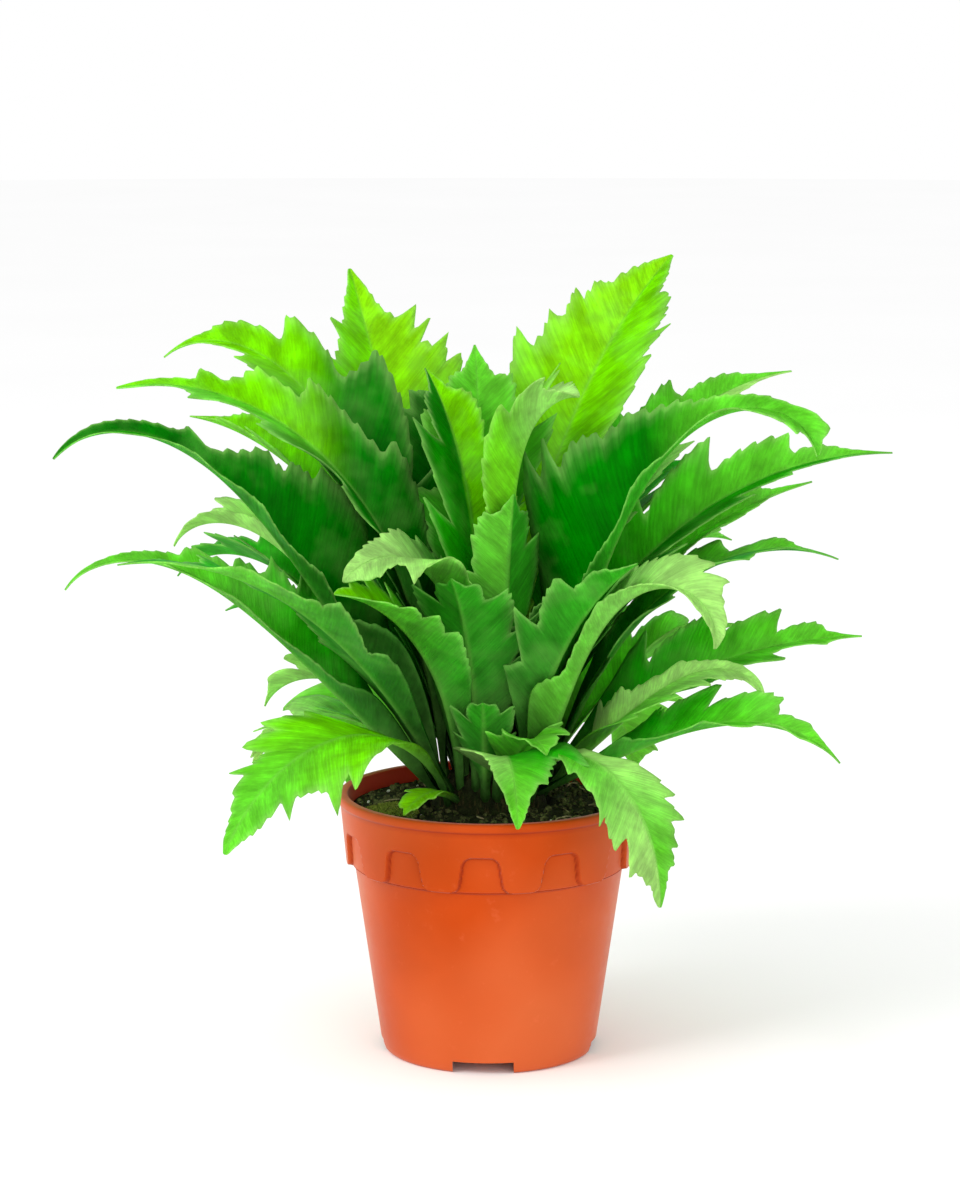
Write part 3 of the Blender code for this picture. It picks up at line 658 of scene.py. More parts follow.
class Midrib:
    """The line of a frond's midrib, from the angles at which it stands."""

    def __init__(self, frond, azimuth, seat, lean):
        self.frond = frond
        self.forward = around(azimuth)
        self.side = Vector((-math.sin(azimuth), math.cos(azimuth), 0))
        self.rise = math.radians(frond.rise) + lean
        self.droop = math.radians(frond.droop) + lean
        self.length = frond.length * MM
        spot = CROWN_CENTRE + ROOT_REACH * (self.forward * math.cos(seat) + Vector((0, 0, math.sin(seat))))
        self.spots = []
        for step in range(RULE_STEPS + 1):
            self.spots.append(spot)
            spot = spot + self.tangent(step / RULE_STEPS) * self.length / RULE_STEPS

    def pitch(self, along):
        return self.rise + (self.droop - self.rise) * along**self.frond.curl

    def tangent(self, along):
        pitch = self.pitch(along)
        return self.forward * math.cos(pitch) + Vector((0, 0, math.sin(pitch)))

    def spot(self, along):
        """A point on the smooth line through the steps."""
        place = min(along * RULE_STEPS, RULE_STEPS - 1e-6)
        low = int(place)
        share = place - low
        before = self.spots[max(0, low - 1)]
        first = self.spots[low]
        last = self.spots[low + 1]
        after = self.spots[min(RULE_STEPS, low + 2)]
        pull = (last - before) / 2, (after - first) / 2
        square, cube = share**2, share**3
        return (
            first * (2 * cube - 3 * square + 1)
            + pull[0] * (cube - 2 * square + share)
            + last * (3 * square - 2 * cube)
            + pull[1] * (cube - square)
        )

    def point(self, along, out, lift=0.0):
        """A point on the folded and rolled blade, out from the midrib and lifted off the blade."""
        frond = self.frond
        pitch = self.pitch(along)
        normal = Vector((0, 0, math.cos(pitch))) - self.forward * math.sin(pitch)
        sign = math.copysign(1.0, out)
        opened = smooth_step(along, ROLL_BEGINS, ROLL_ENDS)
        angle = math.radians(frond.fold) - math.radians(frond.roll) * opened * sign
        outwards = self.side * (math.cos(angle) * sign) + normal * math.sin(angle)
        upwards = normal * math.cos(angle) - self.side * (math.sin(angle) * sign)
        return self.spot(along) + outwards * abs(out) + upwards * lift


def stood_midrib(number, frond):
    """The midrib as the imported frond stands, read from where its mesh starts and where it goes."""
    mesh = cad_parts[f"frond_{number:02d}"].data
    corners = {tuple(round(part, 5) for part in vert.co) for vert in mesh.vertices}
    corners = [Vector(corner) for corner in corners]
    root = [corner for corner in corners if (corner - CROWN_CENTRE).length < ROOT_REACH + ROOT_SEARCH]
    middle = sum(root, Vector()) / len(root) - CROWN_CENTRE
    azimuth = math.atan2(middle.y, middle.x)
    climb = math.degrees(math.atan2(middle.z, middle.xy.length)) - frond.seat
    seat = math.radians(frond.seat + SEAT_STEP * round(climb / SEAT_STEP))
    best = None
    for step in range(-LEAN_TRIES, LEAN_TRIES + 1):
        midrib = Midrib(frond, azimuth, seat, math.radians(LEAN_STEP * step))
        miss = 0.0
        for station in range(2, 11):
            spot = midrib.spots[station * RULE_STEPS // 10]
            miss += min((corner - spot).length for corner in corners)
        if best is None or miss < best[0]:
            best = (miss, midrib)
    return best[1]


def generic_reach(frond, midrib, chance):
    """How far each vein of one half reaches: the plain blade with lobes and teeth, by the vein's root."""
    starts, ends = LOBES_SPAN
    notches = []
    for index in range(frond.lobes + 1):
        shift = chance.uniform(-0.24, 0.24) / frond.lobes if 0 < index < frond.lobes else 0.0
        notches.append(starts + (ends - starts) * (index / frond.lobes + shift))
    depths = [chance.uniform(0.7, 1.35) for _ in range(frond.lobes)]
    tips = [chance.uniform(0.66, 0.86) for _ in range(frond.lobes)]

    def reach(root):
        place = root
        for _ in range(6):
            reached = half_width(frond, place, FULL_SHARPNESS, FULL_WIDTH) * vein_lean(root) / midrib.length
            place = min(1.0, 0.5 * place + 0.5 * (root + reached))
        plain = half_width(frond, place, FULL_SHARPNESS, FULL_WIDTH)
        if not notches[0] < root < notches[-1]:
            return plain
        index = next(i for i in range(frond.lobes) if root <= notches[i + 1])
        phase = (root - notches[index]) / (notches[index + 1] - notches[index])
        tip = tips[index]
        lobe = (phase / tip) ** 0.8 if phase < tip else ((1 - phase) / (1 - tip)) ** 1.3
        fade = smooth_step(root, starts, starts + 0.08) * (1 - smooth_step(root, ends - 0.10, ends))
        return plain * (1 + fade * (0.18 + 2.6 * frond.notch * depths[index] * (lobe - 0.60)))

    return reach


def drawn_reach(points):
    """How far each vein of one half reaches, from (root in percent, reach in mm) points."""

    def reach(root):
        root *= 100
        if root <= points[0][0]:
            return STALK_WIDTH / 2 + (points[0][1] * MM - STALK_WIDTH / 2) * root / points[0][0]
        for (low, first), (high, last) in zip(points, points[1:]):
            if root <= high:
                return (first + (last - first) * (root - low) / (high - low)) * MM
        return points[-1][1] * MM

    return reach


def vein_lean(root):
    """How far a side vein runs towards the tip for each length that it runs out."""
    return math.tan(VEIN_ANGLE) * smooth_step(root, 0.02, 0.20)


def vein_point(midrib, root, out, sign, lift=0.0):
    """A point on the blade, out along the vein that leaves the midrib at root."""
    place = min(1.0, root + out * vein_lean(root) / midrib.length)
    return midrib.point(place, max(out, 1e-9) * sign, lift)


def wanted_reaches(number, frond, midrib, rows, half, chance):
    """How far every vein of one half reaches with nothing in its way, teeth included."""
    drawn = number in OUTLINES
    rule = drawn_reach(OUTLINES[number][half]) if drawn else generic_reach(frond, midrib, chance)
    tooth_phase = chance.uniform(0, 1)
    wanted = []
    for row in range(rows + 1):
        root = row / rows
        reach = rule(root)
        if drawn and root < HIDDEN_SHARE:
            plain = half_width(frond, root, FULL_SHARPNESS, FULL_WIDTH)
            reach += max(0.0, plain - reach) * (1 - smooth_step(root, 0.5 * HIDDEN_SHARE, HIDDEN_SHARE))
        saw = (root * midrib.length / TOOTH_PITCH + tooth_phase + 0.6 * math.sin(root * 17 + number)) % 1.0
        tooth = saw if saw < TOOTH_TIP else (1 - saw) * TOOTH_TIP / (1 - TOOTH_TIP)
        size = TOOTH_SIZE * min(1.0, reach / TOOTHED_WIDTH) * smooth_step(root, *TEETH_BEGIN)
        size *= 1 - smooth_step(root, *TEETH_END)
        wanted.append(reach + size * (tooth - TOOTH_MIDDLE))
    return wanted


def free_reach(midrib, root, sign, limit, others):
    """How far a vein runs before it comes too near another frond, or None if it meets none."""
    first, done = vein_point(midrib, root, VEIN_START, sign), VEIN_START
    pieces = max(1, math.ceil(limit / PROBE_LENGTH))
    for piece in range(pieces):
        out = VEIN_START + (limit - VEIN_START) * (piece + 1) / pieces
        last = vein_point(midrib, root, out, sign)
        way = last - first
        hits = [tree.ray_cast(first, way.normalized(), way.length)[3] for tree in others]
        hits = [hit for hit in hits if hit is not None]
        if hits:
            return done + min(hits) - CLEAR_OUT
        first, done = last, out
    return None


def reaches(number, frond, midrib, rows, others, chance):
    """The reach of every vein on both halves, kept clear of the other fronds."""
    made = {}
    for half, sign in enumerate((1, -1)):
        wanted = wanted_reaches(number, frond, midrib, rows, half, chance)
        open_reach = 2 * max(wanted)
        free = {}
        for row in [*range(0, rows, 2), rows]:
            found = free_reach(midrib, row / rows, sign, wanted[row] + CLEAR_OUT, others)
            free[row] = open_reach if found is None else found
        for row in range(1, rows, 2):
            free[row] = min(free[row - 1], free[row + 1])
        made[sign] = []
        for row in range(rows + 1):
            least = min(free[near] for near in range(max(0, row - 2), min(rows, row + 2) + 1))
            floor = LEAST_SHARE * half_width(frond, row / rows)
            made[sign].append(max(min(wanted[row], least), min(wanted[row], floor)))
    return made


def leaf_tint(number, tints, settings, along, across, sign):
    """The colour at a point of a blade: painted shade, a deep dark green, where it leaves the crown, and a painted
    highlight, paler, along the margin.
    """
    first, last = tints[:2] if sign > 0 else tints[2:]
    if across < RIB_ACROSS:
        first, last = (tints[0] + tints[2]) / 2, (tints[1] + tints[3]) / 2
    deep, pale = Vector(picked(TINTS["k"])), Vector(picked(TINTS["p"]))
    shade = first.lerp(last, smooth_step(along, *TINT_TURNS.get(number, USUAL_TURN)))
    # Painted shade: the colour darkens to a deep green towards the crown.
    shade = (deep * settings.base_painted_shade).lerp(shade, smooth_step(along, *PAINTED_SHADE_BASE))
    # Painted highlight: paler along the margin, away from the stalk.
    painted_highlight = EDGE_PAINTED_HIGHLIGHT * smooth_step(across, *PAINTED_HIGHLIGHT_MARGIN) * smooth_step(along, *PAINTED_HIGHLIGHT_BEGINS)
    return (*shade.lerp(pale, painted_highlight), 1.0)


def blade(number, frond, settings, materials, packed, sheets):
    """One frond: a grid laid along the midrib and out along the veins, with lobed and waved margins."""
    midrib = stood_midrib(number, frond)
    chance = random.Random(SEED * 1000 + number)
    rows = max(LEAST_ROWS, round(midrib.length / settings.row_spacing))
    others = [search_tree([piece for other, piece in packed.items() if other > number]), search_tree(sheets)]
    reach = reaches(number, frond, midrib, rows, others, chance)
    phases = {1: chance.uniform(0, math.tau), -1: chance.uniform(0, math.tau)}
    ripple = chance.uniform(0, 50)
    tints = [Vector(picked(TINTS[letter])) for letter in frond.tints]
    columns = len(ACROSS) - 1
    bm = bmesh.new()
    bmesh.ops.create_grid(bm, x_segments=rows, y_segments=2 * columns, size=1.0)
    uv = bm.loops.layers.uv.new("blade")
    tint = bm.verts.layers.float_color.new("tint")
    rib = bm.verts.layers.float.new("rib")
    weights = bm.verts.layers.deform.new()
    for face in bm.faces:
        for loop in face.loops:
            loop[uv].uv = ((loop.vert.co.x + 1) / 2, (loop.vert.co.y + 1) / 2)
    laid = {}
    for vert in bm.verts:
        row = round((vert.co.x + 1) / 2 * rows)
        column = round(vert.co.y * columns)
        along = row / rows
        sign = 1 if column >= 0 else -1
        across = ACROSS[abs(column)]
        out = reach[sign][row] * across
        cup = math.sin(math.tau * frond.lobes * along + phases[sign])
        rise = 0.8 * noise.noise(Vector((along * 14, sign * 3.1, ripple)))
        wave = frond.wave * MM * (cup + rise) * across**2 * smooth_step(along, *WAVE_BEGINS)
        wave *= min(1.0, reach[sign][row] / WAVED_WIDTH) * (1.0 if number in OUTLINES else GENERIC_WAVE)
        flat = vein_point(midrib, along, out, sign)
        lift = vein_point(midrib, along, out, sign, wave) - flat
        if row == 0:
            flat -= midrib.tangent(0) * STALK_SUNK
        laid[vert] = (flat, lift)
        rib_width = (1.5 - 0.9 * along) * MM
        # The pale midrib colour fades out towards the crown, so the painted shade covers the stalks too.
        vert[rib] = bell(out, rib_width) * (1 - 0.6 * along) * smooth_step(along, 0.0, 0.35)
        body = settings.rib_thickness * (1 - along) ** 0.8
        thick = settings.blade_thickness + body * bell(out, 1.3 * rib_width)
        vert[weights][0] = min(1.0, thick / (settings.blade_thickness + settings.rib_thickness))
        vert[tint] = leaf_tint(number, tints, settings, along, across, sign)
    for waviness in WAVINESS:
        for vert, (flat, lift) in laid.items():
            vert.co = flat + lift * waviness
        if waviness == 0.0 or not BVHTree.FromBMesh(bm).overlap(others[1]):
            break
    keep_sheet(sheets, bm, rows, columns)
    piece = finished(f"fern_frond_{number:02d}", bm, materials, [f"frond_{number:02d}"])
    piece.vertex_groups.new(name="thickness")
    shell = piece.modifiers.new("thickness", "SOLIDIFY")
    shell.thickness = settings.blade_thickness + settings.rib_thickness
    shell.offset = 0.0
    shell.vertex_group = "thickness"
    shell.material_offset = 1
    shell.material_offset_rim = 0
    return waviness


def search_tree(pieces):
    """A search tree of (corners, faces) pieces, with a far triangle so that it's never empty."""
    points, faces = list(FAR_TRIANGLE), [(0, 1, 2)]
    for corners, polygons in pieces:
        start = len(points)
        points += corners
        faces += [tuple(start + corner for corner in polygon) for polygon in polygons]
    return BVHTree.FromPolygons(points, faces)


def keep_sheet(sheets, bm, rows, columns):
    """Keeps a coarse copy of a blade, with every fourth row and every second column."""
    spots = [vert.co.copy() for vert in bm.verts]
    kept_rows = [*range(0, rows, SHEET_ROWS), rows]
    kept_columns = range(0, 2 * columns + 1, SHEET_COLUMNS)
    corners = [spots[column * (rows + 1) + row] for row in kept_rows for column in kept_columns]
    across = len(kept_columns)
    starts = [row * across + column for row in range(len(kept_rows) - 1) for column in range(across - 1)]
    sheets.append((corners, [(at, at + 1, at + across + 1, at + across) for at in starts]))


class FERN_OT_fronds(bpy.types.Operator):
    """Builds every frond with its midrib, veins, lobes and waved margins"""

    bl_idname = "fern.fronds"
    bl_label = "Fronds"

    def execute(self, context):
        settings = context.scene.fern_leaf
        materials = [leaf_finish(settings, under=False), leaf_finish(settings, under=True)]
        packed = {}
        for number in range(1, len(FRONDS) + 1):
            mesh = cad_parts[f"frond_{number:02d}"].data
            packed[number] = (
                [vert.co.copy() for vert in mesh.vertices],
                [tuple(polygon.vertices) for polygon in mesh.polygons],
            )
        sheets = []
        calmed = 0
        for number, frond in enumerate(FRONDS, start=1):
            calmed += blade(number, frond, settings, materials, packed, sheets) < 1.0
        print("fronds with calmer margins:", calmed)
        return {"FINISHED"}


def pot_radii(settings):
    """The pot's radii and heights that its parts share."""
    rim = settings.rim_diameter / 2
    collar_foot = settings.height - COLLAR_HEIGHT
    collar_top = rim - LIP_PROUD
    collar_low = collar_top - COLLAR_TAPER
    return rim, collar_foot, collar_top, collar_low, collar_low - COLLAR_PROUD


def wall_radius(settings, height):
    foot, top = settings.base_diameter / 2, pot_radii(settings)[4]
    return foot + (top - foot) * height / pot_radii(settings)[1]


def collar_radius(settings, height):
    _, collar_foot, collar_top, collar_low, _ = pot_radii(settings)
    share = (height - collar_foot) / (settings.height - LIP_HEIGHT - collar_foot)
    return collar_low + (collar_top - collar_low) * share


def pot_profile(settings):
    """The pot's closed section with rounded edges, finely stepped where the arches are."""
    rim, collar_foot, _, collar_low, wall_top = pot_radii(settings)
    foot = settings.base_diameter / 2
    height = settings.height
    lip_foot = height - LIP_HEIGHT
    behind = settings.arch_depth + settings.wall
    floor_top = FLOOR_HEIGHT + FLOOR_THICKNESS
    profile = [(DRAIN_RADIUS, FLOOR_HEIGHT), (foot - FOOT_WIDTH, FLOOR_HEIGHT)]
    profile += [(foot - FOOT_WIDTH, 0.6 * MM), (foot - FOOT_WIDTH + 0.5 * MM, 0.0)]
    profile += [(foot - 1.9 * MM, 0.0), (foot - 1.1 * MM, 0.25 * MM), (foot - 0.4 * MM, 1.0 * MM)]
    profile += [(foot, 2.0 * MM), (wall_radius(settings, 3.6 * MM), 3.6 * MM)]
    levels = [(collar_foot - 1.2 * MM) * step / WALL_ROWS for step in range(1, WALL_ROWS + 1)]
    profile += [(wall_radius(settings, level), level) for level in levels]
    profile += [(wall_top + 0.15 * MM, collar_foot - 0.6 * MM), (wall_top + 0.9 * MM, collar_foot - 0.25 * MM)]
    profile.append((collar_low - 0.5 * MM, collar_foot))
    low, fine = collar_foot + 0.4 * MM, ARCH_HEIGHT + 2.4 * MM
    levels = [low + fine * step / ARCH_ROWS for step in range(ARCH_ROWS + 1)]
    start = low + ARCH_HEIGHT + 2.4 * MM
    levels += [start + (lip_foot - 0.9 * MM - start) * step / 4 for step in range(1, 5)]
    profile += [(collar_radius(settings, level), level) for level in levels]
    profile += [(rim - 0.7 * MM, lip_foot - 0.35 * MM), (rim - 0.2 * MM, lip_foot + 0.1 * MM)]
    profile += [(rim, lip_foot + 0.6 * MM), (rim, height - 1.2 * MM), (rim - 0.25 * MM, height - 0.5 * MM)]
    profile += [(rim - 0.75 * MM, height - 0.1 * MM), (rim - 1.3 * MM, height)]
    inner = collar_radius(settings, height) - behind
    profile += [(inner + 0.7 * MM, height), (inner + 0.2 * MM, height - 0.2 * MM), (inner, height - 0.8 * MM)]
    ledge = collar_foot + 1.0 * MM
    profile.append((collar_radius(settings, ledge) - behind, ledge))
    profile.append((wall_top - settings.wall, collar_foot - 1.0 * MM))
    profile.append((wall_radius(settings, floor_top) - settings.wall, floor_top + 1.2 * MM))
    profile.append((wall_radius(settings, floor_top) - settings.wall - 1.2 * MM, floor_top))
    profile.append((DRAIN_RADIUS, floor_top))
    return profile


def turned(profile, sides, closed):
    """A bmesh turned about Z from (radius, height) points."""
    bm = bmesh.new()
    verts = [bm.verts.new((radius, 0, height)) for radius, height in profile]
    edges = [bm.edges.new(pair) for pair in zip(verts, verts[1:])]
    if closed:
        edges.append(bm.edges.new((verts[-1], verts[0])))
    bmesh.ops.spin(
        bm,
        geom=verts + edges,
        cent=(0, 0, 0),
        axis=(0, 0, 1),
        angle=math.tau,
        steps=sides,
        use_merge=True,
    )
    bmesh.ops.remove_doubles(bm, verts=bm.verts, dist=0.01 * MM)
    bmesh.ops.recalc_face_normals(bm, faces=bm.faces)
    return bm


def arch_press(settings, spot):
    """How far the collar is pressed in at a point, and how far the point is outside the arch."""
    collar_foot = pot_radii(settings)[1]
    pitch = math.tau / ARCH_COUNT
    turn = (math.atan2(spot.y, spot.x) - PATTERN_TURN + pitch / 2) % pitch - pitch / 2
    radius = spot.xy.length
    above = spot.z - collar_foot
    across = abs(turn) * radius
    half = radius * pitch * ARCH_SHARE / 2 * (1 - ARCH_NARROWING * above / ARCH_HEIGHT)
    if above < ARCH_FLARE:
        half += ARCH_FLARE * (1 - math.sqrt(max(0.0, 1 - ((ARCH_FLARE - above) / ARCH_FLARE) ** 2)))
    past = across - (half - ARCH_CORNER), above - (ARCH_HEIGHT - ARCH_CORNER)
    outside = math.hypot(max(past[0], 0.0), max(past[1], 0.0)) + min(max(past), 0.0) - ARCH_CORNER
    return settings.arch_depth * (1 - smooth_step(outside, -0.45 * MM, 0.35 * MM)), outside


def cut(piece, bm):
    """Takes a cutter, given as a bmesh, out of a piece with an exact Boolean."""
    mesh = bpy.data.meshes.new("cutter")
    bm.to_mesh(mesh)
    bm.free()
    cutter = bpy.data.objects.new("cutter", mesh)
    bpy.context.scene.collection.objects.link(cutter)
    boolean = piece.modifiers.new("cut", "BOOLEAN")
    boolean.operation = "DIFFERENCE"
    boolean.solver = "EXACT"
    boolean.object = cutter
    bpy.context.view_layer.update()
    evaluated = piece.evaluated_get(bpy.context.evaluated_depsgraph_get())
    settled = bpy.data.meshes.new_from_object(evaluated)
    piece.modifiers.remove(boolean)
    old = piece.data
    piece.data = settled
    bpy.data.meshes.remove(old)
    bpy.data.objects.remove(cutter)
    bpy.data.meshes.remove(mesh)


def shape_collar(settings, bm):
    """Presses the arches into the collar, and marks where the finish paints shade: along the creases and on the inner
    wall.
    """
    collar_foot, lip_foot = pot_radii(settings)[1], settings.height - LIP_HEIGHT
    crease = bm.verts.layers.float.new("crease")
    inside = bm.verts.layers.float.new("inside")
    for vert in bm.verts:
        level, radius = vert.co.z, vert.co.xy.length
        skin = collar_radius(settings, level) if level > collar_foot - 0.1 * MM else wall_radius(settings, level)
        # The inner wall is marked for painted shade, a deeper red.
        vert[inside] = float(radius < skin - 0.9 * MM and level > FLOOR_HEIGHT + 0.5 * MM)
        if vert[inside]:
            continue
        # Painted shade in the creases under the collar and the lip, and along the edges of the arches.
        vert[crease] = bell(level - collar_foot + 0.3 * MM, 0.55 * MM)
        vert[crease] += bell(level - lip_foot + 0.4 * MM, 0.5 * MM)
        if collar_foot - 0.1 * MM <= level <= lip_foot - 1.0 * MM:
            press, outside = arch_press(settings, vert.co)
            vert[crease] = max(vert[crease], bell(outside + 0.35 * MM, 0.45 * MM))
            if outside < -0.8 * MM:
                vert[crease] = 0.0
            vert.co.xy *= 1 - press / radius


class FERN_OT_pot(bpy.types.Operator):
    """Builds the moulded pot with its collar, arches, foot gates and drain holes"""

    bl_idname = "fern.pot"
    bl_label = "Pot"

    def execute(self, context):
        settings = context.scene.fern_pot
        bm = turned(pot_profile(settings), ARCH_COUNT * settings.segments_per_arch, closed=True)
        shape_collar(settings, bm)
        piece = finished("nursery_pot", bm, [plastic_finish(settings)], ["pot"])
        for index in reversed(range(GATE_PAIRS)):
            turn = Matrix.Rotation(PATTERN_TURN + index * math.pi / GATE_PAIRS, 4, "Z")
            size = Matrix.Diagonal((3 * settings.base_diameter, GATE_WIDTH, 2 * GATE_HEIGHT, 1))
            gate = bmesh.new()
            bmesh.ops.create_cube(gate, size=1.0, matrix=turn @ size)
            cut(piece, gate)
        ring = settings.base_diameter / 2 * DRAIN_RING_SHARE
        holes = bmesh.new()
        for index in range(DRAIN_COUNT):
            turn = PATTERN_TURN + (index + 0.5) * math.tau / DRAIN_COUNT
            bmesh.ops.create_cone(
                holes,
                cap_ends=True,
                segments=32,
                radius1=DRAIN_RADIUS,
                radius2=DRAIN_RADIUS,
                depth=6 * FLOOR_THICKNESS,
                matrix=Matrix.Translation(around(turn, ring, FLOOR_HEIGHT + FLOOR_THICKNESS)),
            )
        cut(piece, holes)
        piece.data.shade_smooth()
        piece.data.set_sharp_from_angle(angle=SHARP_ANGLE)
        return {"FINISHED"}


def inner_radius(settings, height):
    return collar_radius(settings, height) - settings.arch_depth - settings.wall


def soil_height(settings, radius):
    """Height of the soil's surface, which rises a little from the wall to the crown."""
    edge_height = settings.height - SOIL_DROP
    share = max(0.0, 1 - radius / inner_radius(settings, edge_height))
    return edge_height + SOIL_MOUND * math.sin(min(1.0, 1.6 * share) * math.pi / 2)


def soil_relief(spot):
    """Lumps and hollows of the soil's surface."""
    lumps = noise.noise(spot * 90) * 1.1 + noise.noise(spot * 260 + Vector((5, 0, 0))) * 0.7
    return (lumps + noise.noise(spot * 700) * 0.35) * MM


def scattered(chance, inner, outer):
    """A random azimuth and radius, even over the ring between two radii."""
    return chance.uniform(0, math.tau), math.sqrt(chance.uniform(inner**2, outer**2))


def lump(bm, spot, size, squash, chance, subdivisions=1):
    """Adds an uneven grain."""
    turn = Matrix.Rotation(chance.uniform(0, math.tau), 4, chance.choice("XYZ"))
    turn = turn @ Matrix.Rotation(chance.uniform(0, math.tau), 4, "X")
    scale = Matrix.Diagonal((size, size * chance.uniform(0.6, 1.0), size * squash, 1))
    made = bmesh.ops.create_icosphere(
        bm, subdivisions=subdivisions, radius=1.0, matrix=Matrix.Translation(spot) @ turn @ scale
    )
    for vert in made["verts"]:
        vert.co += (vert.co - spot) * chance.uniform(-0.28, 0.28)


def fibre(bm, start, heading, length, width, chance):
    """Adds a thin curved fibre of four sides."""
    spot = start.copy()
    made = bmesh.ops.create_circle(
        bm, cap_ends=True, segments=4, radius=width, matrix=Matrix.Translation(start)
    )
    bm.faces.ensure_lookup_table()
    tilt = Vector((0, 0, 1)).rotation_difference(around(heading))
    bmesh.ops.rotate(bm, verts=made["verts"], cent=start, matrix=tilt.to_matrix())
    face = made["verts"][0].link_faces[0]
    bend = chance.uniform(-0.35, 0.35)
    for step in range(FIBRE_STEPS):
        heading += bend
        move = around(heading) * length / FIBRE_STEPS
        arc = 0.45 * math.cos((step + 0.5) / FIBRE_STEPS * math.pi)
        move.z = arc * length / FIBRE_STEPS * chance.uniform(0.4, 1.0)
        grown = bmesh.ops.extrude_face_region(bm, geom=[face])["geom"]
        verts = [item for item in grown if isinstance(item, bmesh.types.BMVert)]
        bmesh.ops.translate(bm, verts=verts, vec=move)
        spot += move
        bmesh.ops.rotate(bm, verts=verts, cent=spot, matrix=Matrix.Rotation(bend, 3, "Z"))
        bmesh.ops.delete(bm, geom=[face], context="FACES_ONLY")
        face = next(item for item in grown if isinstance(item, bmesh.types.BMFace))


def grains(pot, chance, count, ring, draw_size, seat, squash):
    """A bmesh of uneven grains, scattered over the soil between the two radii of the ring."""
    bm = bmesh.new()
    for _ in range(count):
        turn, radius = scattered(chance, *ring)
        size = draw_size() * MM
        spot = around(turn, radius, soil_height(pot, radius))
        spot.z += soil_relief(spot) + seat * size
        lump(bm, spot, size, squash, chance)
    return bm


class FERN_OT_soil(bpy.types.Operator):
    """Builds the peat with its relief, crumbs, pale grains and fibres"""

    bl_idname = "fern.soil"
    bl_label = "Soil"

    def execute(self, context):
        pot = context.scene.fern_pot
        filling = context.scene.fern_filling
        chance = random.Random(SEED)
        base = FLOOR_HEIGHT + FLOOR_THICKNESS + SOIL_GAP
        collar_foot = pot_radii(pot)[1]
        edge_height = pot.height - SOIL_DROP
        ledge = collar_foot + 1.0 * MM
        outer = inner_radius(pot, edge_height) - SOIL_GAP
        profile = [(0.0, base), (wall_radius(pot, base) - pot.wall - 1.6 * MM, base)]
        profile.append((wall_radius(pot, base) - pot.wall - 0.4 * MM, base + 1.6 * MM))
        profile.append((pot_radii(pot)[4] - pot.wall - 2 * SOIL_GAP, collar_foot - 1.0 * MM))
        profile += [(inner_radius(pot, ledge) - 2 * SOIL_GAP, ledge), (outer, edge_height - 1.0 * MM)]
        radii = [outer * (1 - ring / SOIL_RINGS) for ring in range(SOIL_RINGS + 1)]
        profile += [(radius, soil_height(pot, radius)) for radius in radii]
        bm = turned(profile, SOIL_SIDES, closed=False)
        for vert in bm.verts:
            radius = vert.co.xy.length
            if vert.co.z < edge_height - 0.5 * MM:
                continue
            vert.co.z += soil_relief(vert.co) * smooth_step(outer - radius, 0.0, 1.5 * MM)
            if radius < CROWN_RADIUS + 1 * MM:
                vert.co.z = min(vert.co.z, edge_height)
        dark = tuple(filling.soil_colour)
        peat = crumbly_finish("moist_peat", dark, (0.048, 0.052, 0.021), 260.0, 0.92, 0.0007)
        finished("peat_filling", bm, [peat], ["soil"])

        ring = (CROWN_RADIUS + 1.5 * MM, outer - 2.2 * MM)
        crumbs = grains(pot, chance, filling.crumb_count, ring, lambda: chance.triangular(0.35, 2.0, 0.6), 0.25, 0.75)
        crumb_finish = crumbly_finish("peat_crumb", dark, (0.16, 0.17, 0.06), 420.0, 0.9, 0.0004)
        finished("peat_crumbs", crumbs, [crumb_finish], smooth=False)

        ring = (CROWN_RADIUS + 4 * MM, outer - 3 * MM)
        perlite = grains(pot, chance, filling.perlite_count, ring, lambda: chance.uniform(0.5, 1.1), 0.6, 0.8)
        pale = crumbly_finish("perlite_grain", (0.42, 0.44, 0.36), (0.62, 0.62, 0.54), 500.0, 0.8, 0.0002)
        finished("perlite_grains", perlite, [pale], smooth=False)

        fibres = bmesh.new()
        for index in range(filling.fibre_count):
            turn, radius = scattered(chance, CROWN_RADIUS + 6 * MM, outer - 6 * MM)
            heading = chance.uniform(0, math.tau)
            length = chance.uniform(4, 9) * MM
            if index == 0:
                turn, radius, heading, length = FRONT_STRAW
            spot = around(turn, radius, soil_height(pot, radius))
            spot.z += 0.9 * MM
            fibre(fibres, spot, heading, length, chance.uniform(0.22, 0.38) * MM, chance)
        bmesh.ops.recalc_face_normals(fibres, faces=fibres.faces)
        straw = crumbly_finish("straw_fibre", (0.20, 0.15, 0.07), (0.46, 0.40, 0.24), 300.0, 0.7, 0.0001)
        finished("straw_fibres", fibres, [straw])
        return {"FINISHED"}


